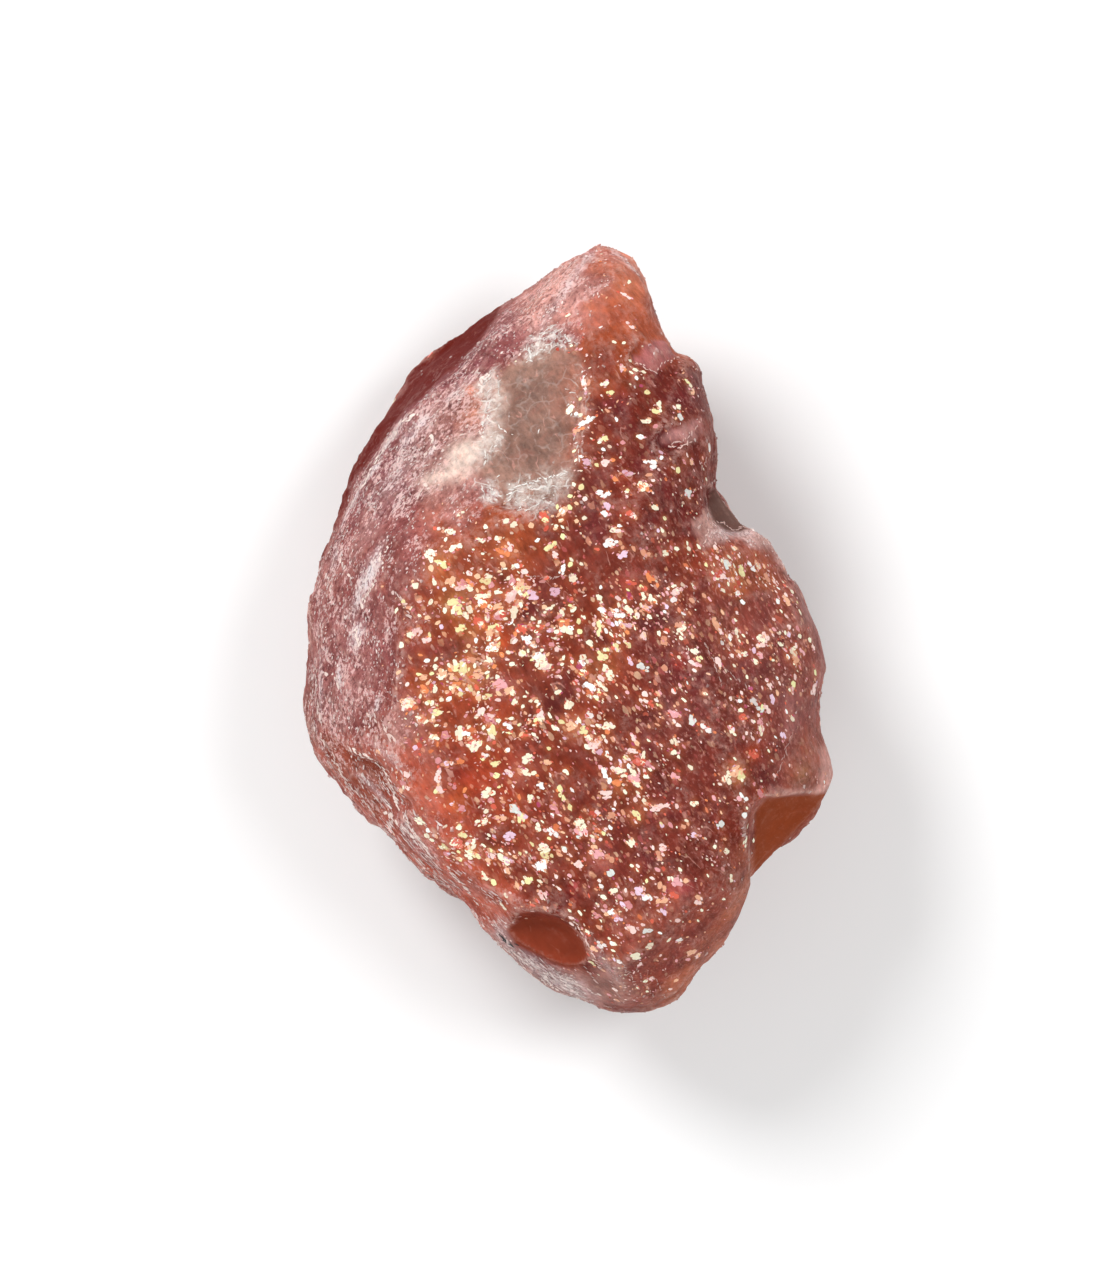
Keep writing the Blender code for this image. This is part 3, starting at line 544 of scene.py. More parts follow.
# Spangles that stand out: x, y, length, width, direction in degrees, colour
NOTED = (
    # orange patch and the left-hand side
    (-8.4, 4.5, 1.1, 0.8, 120, CREAM), (-7.8, 4.0, 1.1, 0.45, -25, YELLOW),
    (-6.9, 5.0, 1.0, 0.4, 32, CREAM), (-7.1, 6.0, 0.7, 0.4, -10, CREAM),
    (-6.5, 7.1, 0.6, 0.35, 20, CREAM), (-5.0, 6.3, 0.35, 0.35, 0, CREAM),
    (-3.3, 6.5, 0.5, 0.4, 20, CREAM), (-2.2, 6.4, 0.4, 0.4, 0, PEACH),
    (-4.3, 5.6, 0.35, 0.35, 0, CREAM), (-3.9, 4.8, 1.0, 0.5, -30, ORANGE),
    (-3.5, 5.1, 0.5, 0.3, -60, BLUSH), (-1.1, 5.1, 1.1, 0.35, 30, YELLOW),
    (-0.3, 3.7, 0.75, 0.4, 75, WHITE), (-9.3, 2.7, 0.45, 0.4, 0, CREAM),
    (-6.0, 2.6, 0.5, 0.45, 0, CREAM), (-5.2, 2.1, 1.3, 0.35, 12, CREAM),
    (-3.6, 2.1, 0.8, 0.4, 0, BLUSH), (-6.8, 1.6, 1.3, 0.75, 20, YELLOW),
    (-5.2, 1.5, 0.6, 0.35, 30, ORANGE), (-4.7, 1.4, 0.45, 0.3, -50, CREAM),
    (-6.1, 0.8, 0.7, 0.4, -50, CREAM), (-6.5, 0.1, 0.7, 0.5, 0, YELLOW),
    (-7.7, 0.2, 0.35, 0.35, 90, LILAC), (-9.6, -0.3, 0.6, 0.45, 0, CREAM),
    (-8.6, -0.6, 0.7, 0.3, 20, BLUSH), (0.0, -0.1, 1.3, 0.5, -40, CREAM),
    (-1.2, 1.2, 0.7, 0.35, 25, CREAM), (-0.2, 1.1, 0.55, 0.5, -40, CREAM),
    (0.3, 1.4, 0.5, 0.25, -20, YELLOW), (-6.3, -2.4, 1.0, 0.8, 80, YELLOW),
    (-5.5, -2.7, 0.8, 0.7, 0, PEACH), (-6.7, -3.2, 0.7, 0.4, 0, ORANGE),
    (-4.1, -3.4, 0.9, 0.9, 0, PINK), (-7.6, -2.7, 0.6, 0.5, 0, PEACH), (-8.8, -2.8, 0.6, 0.5, 0, PEACH),
    (-8.8, -3.6, 0.6, 0.35, -20, ORANGE), (-8.1, -3.7, 0.6, 0.5, 90, CREAM),
    (-3.3, -3.8, 0.5, 0.35, 90, CREAM), (-1.8, -1.6, 0.8, 0.5, 10, WHITE),
    (-1.3, -2.2, 1.1, 0.5, 15, CREAM), (-4.8, -1.8, 0.5, 0.3, -60, CREAM),
    (-0.6, -3.8, 0.5, 0.35, 40, CREAM), (1.0, -2.0, 0.55, 0.4, -50, WHITE),
    (0.1, -4.6, 0.75, 0.5, 90, CREAM),
    # middle and right-hand side
    (1.5, -0.9, 0.65, 0.35, -35, CREAM), (2.1, -1.6, 0.9, 0.55, -35, YELLOW),
    (2.5, -2.6, 1.3, 0.5, -55, CREAM), (3.0, -1.1, 0.8, 0.3, -70, YELLOW),
    (3.4, 4.6, 0.7, 0.4, 20, LILAC), (2.7, 5.3, 1.1, 0.45, 10, WHITE), (6.0, 4.7, 0.5, 0.4, 0, CREAM),
    (11.4, 3.9, 0.65, 0.35, -20, WHITE), (9.8, 4.1, 0.8, 0.2, -15, CREAM),
    (10.7, 3.7, 1.1, 0.5, -55, YELLOW), (10.2, 3.0, 0.7, 0.25, -30, PEACH),
    (6.8, 2.4, 1.1, 0.3, 15, BLUSH), (10.6, 2.2, 0.6, 0.35, -10, BLUSH),
    (10.8, 1.7, 0.45, 0.3, -30, WHITE), (7.0, 0.1, 1.0, 0.35, 15, CREAM),
    (7.6, -0.3, 0.6, 0.2, -50, PEACH), (4.7, -2.3, 0.8, 0.6, -20, TEAL),
    (3.8, -1.9, 0.5, 0.3, -60, LILAC), (7.8, -1.3, 0.6, 0.4, -10, CREAM),
    (7.7, -2.0, 0.55, 0.3, -20, BLUSH), (7.7, -5.6, 0.7, 0.4, -80, TEAL),
    (8.4, -6.0, 1.1, 0.3, -25, WHITE), (6.6, -5.1, 0.9, 0.8, -45, PINK),
    (10.0, -6.1, 0.5, 0.25, -55, CREAM), (11.9, -6.2, 1.0, 0.35, 80, CREAM),
    (11.9, -4.9, 0.55, 0.5, 0, TEAL), (10.8, -5.4, 0.6, 0.5, 0, CORAL),
    (10.9, -1.4, 0.5, 0.4, -40, CREAM), (11.9, -0.9, 0.6, 0.3, 0, BLUSH),
    (11.9, -1.6, 0.5, 0.4, 0, PINK), (12.4, -3.3, 0.6, 0.4, -30, BLUSH),
    (11.3, -3.6, 0.4, 0.25, 0, MAGENTA), (3.9, 2.9, 0.6, 0.5, 0, CORAL),
    # lower part
    (-6.6, -6.3, 1.0, 0.5, -80, CREAM), (-5.9, -7.0, 0.6, 0.4, 0, CREAM),
    (-4.6, -6.1, 0.9, 0.5, -80, YELLOW), (-3.7, -5.9, 0.5, 0.4, 0, WHITE),
    (-7.4, -8.2, 0.4, 0.3, -60, LILAC), (-4.4, -8.1, 0.5, 0.5, 0, YELLOW),
    (-2.4, -7.9, 0.8, 0.7, 0, CREAM), (-2.4, -8.7, 1.1, 0.4, -15, CREAM),
    (-3.4, -8.8, 1.0, 0.5, -40, BLUSH), (-1.2, -8.2, 0.6, 0.35, 0, PEACH),
    (-1.6, -9.6, 0.5, 0.5, 0, WHITE), (-2.2, -10.3, 0.5, 0.4, 90, CREAM),
    (-0.4, -9.9, 1.3, 0.35, -75, YELLOW), (1.0, -6.1, 0.6, 0.55, 0, YELLOW),
    (0.3, -5.9, 0.8, 0.6, 0, PEACH), (1.6, -7.1, 1.0, 0.6, 50, BLUSH), (2.5, -5.9, 0.9, 0.35, 0, CREAM),
    (2.4, -10.1, 0.75, 0.7, 0, BLUSH), (2.4, -9.0, 1.1, 0.35, -65, WHITE),
    (1.7, -11.2, 0.55, 0.5, 0, BLUSH), (3.1, -9.4, 0.6, 0.5, 0, ORANGE),
    (-3.2, -11.0, 1.2, 0.5, -55, TEAL), (-9.9, -8.9, 0.5, 0.35, 70, BLUSH),
    (-9.8, -9.7, 0.4, 0.3, -30, BLUSH), (-7.9, -8.9, 0.9, 0.4, 80, BLUSH),
    (-7.8, -9.9, 0.5, 0.45, 0, BLUSH), (-11.0, -12.3, 0.6, 0.45, -60, BLUSH),
    (-2.6, -11.6, 0.5, 0.4, -40, LILAC), (-4.1, -11.6, 0.7, 0.5, 0, PEACH),
    (-6.4, -12.6, 0.5, 0.5, 0, YELLOW), (-3.5, -12.7, 0.8, 0.7, 0, LILAC),
    (-0.9, -12.4, 1.0, 0.5, -50, WHITE), (-1.4, -13.4, 0.8, 0.75, 0, CREAM),
    (-1.3, -14.2, 0.4, 0.3, -60, PEACH), (-3.9, -14.1, 1.0, 0.5, -40, CREAM),
    (-4.8, -13.7, 1.0, 0.25, -50, BLUSH), (-5.1, -15.1, 0.7, 0.35, -60, CREAM),
    (-2.4, -15.4, 0.45, 0.45, 0, YELLOW), (0.8, -14.4, 0.8, 0.4, 0, BLUSH),
    (2.0, -13.9, 1.2, 0.7, -40, PINK), (2.6, -14.9, 0.7, 0.4, -60, TEAL),
    (2.9, -16.0, 0.5, 0.45, 0, CREAM), (3.9, -13.1, 0.75, 0.4, -50, CREAM),
    (4.1, -9.1, 0.7, 0.6, -20, PINK), (4.3, -11.4, 0.8, 0.45, -60, YELLOW),
    (4.6, -7.8, 0.7, 0.35, 75, CREAM), (6.4, -7.5, 0.8, 0.3, -20, CREAM),
    (5.7, -10.9, 1.2, 0.5, 10, BLUSH), (6.6, -9.0, 0.6, 0.35, -20, PINK),
    (7.8, -10.6, 0.6, 0.4, -30, CREAM), (9.0, -10.3, 0.45, 0.25, -60, PINK),
    (9.8, -9.1, 0.9, 0.6, 90, CREAM), (10.4, -8.7, 0.9, 0.8, 30, PEACH),
    (10.7, -8.9, 0.6, 0.6, 0, YELLOW), (11.4, -7.6, 0.9, 0.6, -30, CORAL),
    (11.0, -10.4, 0.4, 0.3, -30, WHITE), (10.9, -11.4, 0.45, 0.4, -30, WHITE),
    (11.1, -12.1, 0.4, 0.25, -50, CREAM), (11.0, -13.1, 0.8, 0.35, -75, CREAM),
    (9.4, -12.0, 0.7, 0.4, -30, TEAL), (9.7, -13.6, 0.6, 0.35, -20, CREAM),
    (10.1, -15.3, 0.65, 0.3, -35, CREAM), (7.9, -12.6, 0.55, 0.4, -10, LILAC),
    (5.8, -13.4, 0.6, 0.5, 0, BLUSH), (6.7, -15.5, 0.9, 0.6, 0, PINK),
    (7.3, -15.4, 0.4, 0.35, 0, PEACH), (6.6, -16.4, 0.9, 0.4, -20, CORAL),
    (5.8, -16.6, 1.0, 0.4, 20, PEACH), (4.4, -16.1, 0.8, 0.6, -40, LILAC),
    (8.1, -16.4, 0.6, 0.35, -40, PEACH), (5.9, -17.3, 0.5, 0.3, -60, LILAC),
    (3.2, -17.8, 0.6, 0.45, 0, LILAC), (4.9, -18.6, 0.6, 0.5, 0, TEAL),
    (6.25, -19.1, 0.45, 0.35, 80, CREAM), (7.0, -19.1, 0.7, 0.5, -20, WHITE),
    (7.7, -19.9, 0.7, 0.6, 0, PEACH), (3.9, -18.4, 0.6, 0.3, -50, BLUSH),
    (2.9, -19.3, 0.4, 0.25, -30, CREAM), (4.5, -20.6, 0.5, 0.35, 0, BLUSH),
    (5.2, -21.6, 0.5, 0.3, -30, BLUSH), (6.75, -21.75, 0.4, 0.35, 0, PEACH),
    (6.4, -22.3, 0.4, 0.2, -40, BLUSH),
    # peak and upper right-hand part
    (3.6, 20.7, 0.9, 0.25, -35, BLUSH), (3.9, 18.8, 0.7, 0.25, -40, BLUSH),
    (2.9, 17.75, 0.35, 0.2, -20, CREAM), (3.5, 17.7, 0.3, 0.2, 30, CREAM),
    (2.3, 15.1, 0.5, 0.45, 0, CREAM), (2.6, 14.6, 0.6, 0.35, 15, YELLOW),
    (1.2, 12.9, 1.3, 0.4, 30, WHITE), (0.2, 13.6, 0.75, 0.35, 80, CREAM),
    (1.0, 15.2, 1.2, 0.25, -70, BLUSH), (2.3, 11.8, 0.6, 0.5, 0, YELLOW),
    (5.4, 13.4, 0.5, 0.35, 0, YELLOW), (4.9, 12.8, 0.6, 0.35, 0, CREAM),
    (4.2, 16.0, 0.45, 0.35, 0, CREAM), (7.0, 13.2, 0.6, 0.4, 70, TEAL), (2.3, 10.3, 0.6, 0.5, 0, BLUSH),
    (2.8, 10.4, 0.4, 0.3, 0, ORANGE), (5.1, 10.2, 0.9, 0.65, -30, WHITE),
    (7.6, 10.4, 0.6, 0.4, 90, PEACH), (6.8, 9.8, 0.4, 0.4, 0, YELLOW), (4.6, 8.8, 0.8, 0.5, -30, CREAM),
    (7.4, 8.4, 0.9, 0.45, 25, TEAL), (2.2, 8.3, 0.85, 0.5, 0, WHITE), (2.5, 7.5, 0.7, 0.45, -60, LILAC),
    (2.2, 7.1, 0.5, 0.4, 0, WHITE), (5.3, 7.6, 0.6, 0.35, -40, CREAM), (3.7, 7.2, 0.6, 0.5, 0, CORAL),
    (2.9, 6.1, 0.5, 0.3, 0, CREAM), (8.8, 11.2, 0.8, 0.35, -50, WHITE),
)

# Loose grains and splinters: how many, seed, length between splinters of a row, and colours
CRUMBS = 4200
CRUMB_SEED = 31
WINDOW_SLIVERS = 70
FROST_SLIVERS = 4400
SLIVER_STEP = 0.15
LINE_TINT = (238, 200, 190)
FLAKE_TINT = (255, 232, 222)
NICK_BLACK = (30, 14, 12)
SLIVER_PINK = (254, 236, 230)

# Rows of splinters: the lines they follow, colour, greatest width
ROWS = (
    (PALE_LINES, LINE_TINT, 0.12),
    (WINDOW_CRACKS, CRACK_WHITE, 0.12),
    (LOOSE_FLAKES, FLAKE_TINT, 0.3),
    (DARK_NICKS, NICK_BLACK, 0.3),
)

# Heights that lie above the whole stone, and at its rim
HIGH_ABOVE = 60.0
RIM_HEIGHT = 14.0

# Camera: the frame in pixels, the middle of the stone in it, and heights and lengths in mm
FRAME_WIDE, FRAME_HIGH = 1114, 1272
PIXELS_PER_MM = 16.0
STONE_AT = (567.0, 630.0)
CAMERA_LENS = 180.0
SENSOR = 36.0
WIDEST_AT = 12.0

# Stage, in metres and watts. Lights have a place, a size and a power
CAMERA_REACH = 10.0
FLOOR_HALF = 2.0
FLOOR_GREY = 0.9
LIGHTS = {
    "key": ((-0.3, 0.32, 0.42), 0.26, 2.7),
    "right": ((0.3, 0.12, 0.5), 0.25, 1.3),
    "fill": ((-0.15, -0.48, 0.3), 0.4, 1.0),
}
SURROUND_STRENGTH = 0.4


# Shape of the skin

def tan_degrees(angle):
    return math.tan(math.radians(angle))


def linear(colour):
    """A screen colour to 255 as the linear red, green and blue that shaders take."""
    c = np.array(colour, float) / 255
    return np.where(c <= 0.04045, c / 12.92, ((c + 0.055) / 1.055) ** 2.4)


def spline(points, steps=14):
    """A closed smooth curve through points, as an array of steps points for each one."""
    p = np.array(points)
    before, after, later = np.roll(p, 1, 0), np.roll(p, -1, 0), np.roll(p, -2, 0)
    t = (np.arange(steps) / steps)[None, :, None]
    a, b, c, d = (q[:, None, :] for q in (before, p, after, later))
    curve = 0.5 * (2 * b + (c - a) * t + (2 * a - 5 * b + 4 * c - d) * t**2
                   + (3 * b - a - 3 * c + d) * t**3)
    return curve.reshape(-1, p.shape[1])


def outline_at(angles):
    """Distance from CENTRE to the widest line, and that line's height, in each direction."""
    curve = spline(OUTLINE)
    x, y = curve[:, 0] - CENTRE[0], curve[:, 1] - CENTRE[1]
    direction = np.arctan2(y, x)
    turn = 2 * math.pi
    radius = np.interp(angles, direction, np.hypot(x, y), period=turn)
    height = np.interp(angles, direction, curve[:, 2], period=turn)
    return radius, height


def slope(x, y, face, sign):
    """Height over x, y of a plane that falls (sign -1) or rises (sign 1) in its direction."""
    px, py, pz, direction, dip = face
    way = math.radians(direction)
    run = (x - px) * math.cos(way) + (y - py) * math.sin(way)
    return pz + sign * tan_degrees(dip) * run


def smooth_lower(a, b, rounding):
    """The lower of two heights, with the edge where they meet rounded off."""
    share = np.clip(0.5 + 0.5 * (b - a) / rounding, 0, 1)
    return b + (a - b) * share - rounding * share * (1 - share)


def distance_outside(x, y, corners):
    """Distance from each x, y to the outline of a polygon, negative inside it."""
    nearest = np.full(x.shape, 1e9)
    inside = np.zeros(x.shape, bool)
    for (ax, ay), (bx, by) in zip(corners, corners[1:] + corners[:1]):
        along = ((x - ax) * (bx - ax) + (y - ay) * (by - ay)) / ((bx - ax) ** 2 + (by - ay) ** 2)
        along = np.clip(along, 0, 1)
        nearest = np.minimum(nearest, np.hypot(x - ax - along * (bx - ax), y - ay - along * (by - ay)))
        if ay != by:
            crosses = (ay > y) != (by > y)
            inside ^= crosses & (x < ax + (y - ay) * (bx - ax) / (by - ay))
    return np.where(inside, -nearest, nearest)


def share_inside(x, y, corners, softness):
    """1 well inside an outline to 0 well outside it, over that much softness."""
    return np.clip(0.5 - distance_outside(x, y, corners) / softness, 0, 1)


def share_between(values, start, end):
    """0 before start, 1 past end and evenly between them."""
    return np.clip((values - start) / (end - start), 0, 1)


def front_height(x, y):
    """Height of the glittering side, before its chips."""
    height = slope(x, y, FRONT_FACES[0], -1)
    for face in FRONT_FACES[1:]:
        height = smooth_lower(height, slope(x, y, face, -1), FRONT_EDGE_ROUNDING)
    return height


def back_height(x, y):
    """Height of the back: the flat face, and the broken ones that rise from it."""
    height = np.zeros(x.shape)
    for face in BACK_FACES:
        height = -smooth_lower(-height, -slope(x, y, face, 1), BACK_EDGE_ROUNDING)
    return height


def chipped(x, y, height):
    """Lowers the front where flakes have come away."""
    for corners, (px, py, pz), direction, dip, wall in CHIPS:
        floor = slope(x, y, (px, py, pz, direction, dip), -1)
        cut = floor + tan_degrees(wall) * np.maximum(distance_outside(x, y, corners), 0)
        height = smooth_lower(height, cut, CHIP_ROUNDING)
    return height


def sheet_points(angles, shares, fullness, roof, top):
    """Points of the front (top True) or back sheet, one ring for each share of the radius."""
    angle, share = np.meshgrid(angles, shares)
    radius, girdle = outline_at(angle)
    x = CENTRE[0] + radius * share * np.cos(angle)
    y = CENTRE[1] + radius * share * np.sin(angle)
    fill = (1 - share**fullness) ** (1 / fullness)
    if top:
        rise = np.maximum(roof(x, y) - girdle, LEAST_RISE) * fill
        floor = girdle + np.minimum(rise, LEAST_RISE * fill)
        z = np.maximum(chipped(x, y, girdle + rise), floor)
    else:
        z = girdle - np.maximum(girdle - roof(x, y), LEAST_RISE) * fill
    return np.stack([x, y, z], axis=-1)


def closed_skin(name):
    """The whole closed skin: front rings inwards from the widest line, and back rings."""
    angles = np.arange(AROUND) * 2 * math.pi / AROUND
    front_shares = np.sin(np.linspace(math.pi / 2, 0, UP_FRONT + 1))[:-1]
    back_shares = np.sin(np.linspace(math.pi / 2, 0, UP_BACK + 1))[1:-1]
    front = sheet_points(angles, front_shares, FRONT_FULLNESS, front_height, True)
    back = sheet_points(angles, back_shares, BACK_FULLNESS, back_height, False)
    middle = np.array([CENTRE]).T
    crown = (*CENTRE, float(front_height(*middle)[0]))
    bottom = (*CENTRE, float(back_height(*middle)[0]))
    points = [*front.reshape(-1, 3), *back.reshape(-1, 3), crown, bottom]

    def ring(first):
        return [(first + i, first + (i + 1) % AROUND) for i in range(AROUND)]

    faces = []
    for k in range(len(front_shares) - 1):
        low, high = ring(k * AROUND), ring((k + 1) * AROUND)
        faces += [(a, b, d, c) for (a, b), (c, d) in zip(low, high)]
    last_front = (len(front_shares) - 1) * AROUND
    first_back = len(front_shares) * AROUND
    high, low = ring(0), ring(first_back)
    faces += [(b, a, c, d) for (a, b), (c, d) in zip(high, low)]
    for k in range(len(back_shares) - 1):
        high, low = ring(first_back + k * AROUND), ring(first_back + (k + 1) * AROUND)
        faces += [(b, a, c, d) for (a, b), (c, d) in zip(high, low)]
    last_back = first_back + (len(back_shares) - 1) * AROUND
    faces += [(a, b, len(points) - 2) for a, b in ring(last_front)]
    faces += [(b, a, len(points) - 1) for a, b in ring(last_back)]
    mesh = bpy.data.meshes.new(name)
    mesh.from_pydata([tuple(MM * float(c) for c in p) for p in points], [], faces)
    return mesh


def apply_modifier(obj, kind, **settings):
    """Adds a modifier and keeps its result as the object's mesh."""
    modifier = obj.modifiers.new(kind.title(), kind)
    for key, value in settings.items():
        setattr(modifier, key, value)
    graph = bpy.context.evaluated_depsgraph_get()
    result = bpy.data.meshes.new_from_object(obj.evaluated_get(graph))
    obj.modifiers.clear()
    obj.data = result


def point_tree(points):
    """The points, ready to be searched for the ones near a place."""
    tree = KDTree(len(points))
    for k, point in enumerate(points):
        tree.insert(point, k)
    tree.balance()
    return tree


def read_points(mesh):
    """The mesh's points in millimetres."""
    points = np.empty(len(mesh.vertices) * 3)
    mesh.vertices.foreach_get("co", points)
    return points.reshape(-1, 3) / MM


def write_points(mesh, points):
    mesh.vertices.foreach_set("co", (points * MM).ravel())
    mesh.update()


def read_normals(mesh):
    normals = np.empty(len(mesh.vertices) * 3)
    mesh.vertex_normals.foreach_get("vector", normals)
    return normals.reshape(-1, 3)


def noise_at(points, wavelength, seed=ROLL_SEED, stretch=Vector((1, 1, 1))):
    """Smooth noise between -1 and 1 at each point."""
    scaled = points * (np.array(stretch) / wavelength) + np.array(seed)
    return np.array([noise.noise(p) for p in scaled.tolist()])


def turned(points, degrees):
    """The points turned about Z, so that a line in that direction comes to lie along X."""
    c, s = math.cos(math.radians(degrees)), math.sin(math.radians(degrees))
    x, y, z = points.T
    return np.stack([c * x + s * y, c * y - s * x, z], axis=1)


def lie_shares(y):
    """Share of each of LIE_OF_FROST at each y."""
    upper, lower = share_between(y, *UPPER_SLOPES), share_between(y, *LOWER_SLOPES)
    return upper, 1 - upper - lower, lower


def knock_scars(mesh):
    """Presses each shell of SCARS into the surface, where a ray from the middle comes out."""
    polygons = [p.vertices[:] for p in mesh.polygons]
    points = read_points(mesh)
    for direction, angle, radius, depth in SCARS:
        way, rise = math.radians(direction), math.radians(angle)
        ray = Vector((math.cos(way) * math.cos(rise), math.sin(way) * math.cos(rise), math.sin(rise)))
        place, normal, _, _ = BVHTree.FromPolygons(points.tolist(), polygons).ray_cast(SCAR_MIDDLE, ray)
        centre = np.array(place + normal * (radius - depth))
        reach = points - centre
        length = np.linalg.norm(reach, axis=1)
        near = length < radius
        points[near] = centre + reach[near] / length[near, None] * radius
    write_points(mesh, points)


def steepness(normals):
    """0 on level ground to 1 on a slope."""
    return np.clip((0.93 - normals[:, 2]) / 0.25, 0, 1)


def cleavage_steps(points):
    """Height of flat treads with steep risers between them, at each point."""
    level = STEP_COUNT * noise_at(points, STEP_SIZE, GRAIN_SEED, STEP_STRETCH)
    tread = np.floor(level)
    return STEP_HEIGHT * (tread + np.clip((level - tread - STEP_TREAD) / STEP_RISER, 0, 1))


def roll_surface(mesh):
    """Moves each point along its normal by the rolling, the flakes and the fine grain."""
    points, normals = read_points(mesh), read_normals(mesh)
    steep = steepness(normals)
    depth = sum(d * noise_at(points, w) for w, d in ROLLS)
    nearest = np.array([noise.voronoi(Vector(p) / FLAKE_SIZE + ROLL_SEED)[0][0] for p in points])
    depth += FLAKE_DEPTH * (nearest**2 - 0.5) * (FLAKE_ON_FACE + (1 - FLAKE_ON_FACE) * steep)
    depth += cleavage_steps(points) * share_between(normals[:, 2], 0.3, 0.0)
    for w, d in FACE_GRAIN:
        depth += d * noise_at(points, w, GRAIN_SEED) * (1 - steep)
    x, y = points[:, 0], points[:, 1]
    frosted = share_inside(x, y, FROSTED, 1.6) * share_between(distance_outside(x, y, FLANK), 0.0, 0.4)
    low = share_between(points[:, 2], 9, 7) * np.clip(noise_at(points, 6.0) * 3 + 0.3, 0, 1)
    steep *= np.maximum(frosted, low)
    for w, d in FROST_GRAIN:
        for lie, share in zip(LIE_OF_FROST, lie_shares(y)):
            ridged = 0.6 - 2 * np.abs(noise_at(turned(points, lie), w, GRAIN_SEED, FROST_STRETCH))
            depth += d * ridged * steep * share
    write_points(mesh, points + normals * depth[:, None])


def rest_flat(mesh):
    """Cuts the back along the cleavage face that the stone lies on, and sets it at height 0."""
    bm = bmesh.new()
    bm.from_mesh(mesh)
    cut = bmesh.ops.bisect_plane(
        bm, geom=bm.verts[:] + bm.edges[:] + bm.faces[:],
        plane_co=(0, 0, BASE_CUT * MM), plane_no=(0, 0, -1), clear_outer=True)
    rim = [e for e in cut["geom_cut"] if isinstance(e, bmesh.types.BMEdge)]
    bmesh.ops.contextual_create(bm, geom=rim)
    for vertex in bm.verts:
        vertex.co.z -= BASE_CUT * MM
    bmesh.ops.recalc_face_normals(bm, faces=bm.faces[:])
    bmesh.ops.triangulate(bm, faces=bm.faces[:])
    bm.to_mesh(mesh)
    bm.free()


def fit_to_box(mesh, low, high):
    """Stretches the mesh a little, so that it fills the solid's box."""
    points = read_points(mesh)
    least, most = points.min(0), points.max(0)
    low, high = np.array(low) / MM, np.array(high) / MM
    write_points(mesh, low + (points - least) * (high - low) / (most - least))


# Finish of the skin

def bruised_edges(mesh, points, normals):
    """0 to 1 at each point: how far it stands out as an edge that knocks have whitened."""
    edges = np.empty(len(mesh.edges) * 2, int)
    mesh.edges.foreach_get("vertices", edges)
    a, b = edges.reshape(-1, 2).T
    count = np.bincount(a, minlength=len(points)) + np.bincount(b, minlength=len(points))
    smooth = points.copy()
    for _ in range(BRUISE_ROUNDS):
        total = np.zeros_like(smooth)
        np.add.at(total, a, smooth[b])
        np.add.at(total, b, smooth[a])
        smooth = 0.5 * smooth + 0.5 * total / count[:, None]
    proud = ((points - smooth) * normals).sum(1)
    return np.clip(proud / BRUISE_HEIGHT, 0, 1)


def blend(colours, colour, share):
    """Each row of colours, mixed with a screen colour by its share."""
    return colours * (1 - share[:, None]) + linear(colour) * share[:, None]


def ragged_shift(points, k):
    """How far the finish is pushed aside at each point. Each number k gives another noise."""
    return (0.55 * noise_at(points, 2.1, Vector((k * 9.1, 3.3, 1.7)))
            + 0.3 * noise_at(points, 0.7, Vector((5.5, k * 4.7, 2.9)))
            + 0.12 * noise_at(points, 0.3, Vector((1.5, k * 6.7, 7.9))))


class Zones:
    """Where each part of the finish lies on the skin, as shares from 0 to 1 at each point.

    The places are shifted by noise, so that the edges are ragged: fully for most parts (x, y),
    a little for streaks and the flank (near_x, near_y) and far for the frost.
    """

    def __init__(self, points):
        self.points = points
        self.front = share_between(points[:, 2], *FRONT_HEIGHTS)
        self.back = (1 - self.front) * np.clip(noise_at(points, *BACK_PATCHES) * 2 + 0.4, 0, 1)
        self.shift = [ragged_shift(points, k) for k in (1, 2)]
        self.x, self.y = points[:, 0] + self.shift[0], points[:, 1] + self.shift[1]
        far_x, far_y = points[:, 0] + 3.4 * self.shift[0], points[:, 1] + 3.4 * self.shift[1]
        self.frosted = share_inside(far_x, far_y, FROSTED, 3.4) * self.front
        self.near_x = 0.35 * self.x + 0.65 * points[:, 0]
        self.near_y = 0.35 * self.y + 0.65 * points[:, 1]
        self.flank = share_inside(self.near_x, self.near_y, FLANK, 0.35)
        self.flank *= share_between(points[:, 2] + 4 * self.shift[0], *FLANK_HEIGHTS)
        self.window, self.clouded = self.inside(WINDOW, 0.5), self.inside(CLOUDED, 1.3)

    def inside(self, corners, softness):
        """Share of the front inside an outline, with a ragged edge."""
        return share_inside(self.x, self.y, corners, softness) * self.front

    def hollow(self, corners, reach, lowest):
        """Share of a smooth hollow, which reaches beyond its outline and down to that height."""
        away = distance_outside(self.points[:, 0], self.points[:, 1], corners)
        height = self.points[:, 2] + 2 * self.shift[0]
        return np.clip((reach - away) / 0.25, 0, 1) * self.front * np.clip((height - lowest) / 1.2, 0, 1)

    def streaks(self):
        """Share of the soft pale streaks in the frost, one of them a painted highlight on the peak's edge.
        """
        whitened = np.zeros(len(self.points))
        for x, y, length, width, direction, strength in STREAKS:
            c, s = math.cos(math.radians(direction)), math.sin(math.radians(direction))
            along = (self.near_x - x) * c + (self.near_y - y) * s
            across = (self.near_y - y) * c - (self.near_x - x) * s
            streak = np.exp(-(2 * along / length) ** 4 - (2 * across / width) ** 2)
            whitened = np.maximum(whitened, strength * streak * self.front)
        return whitened


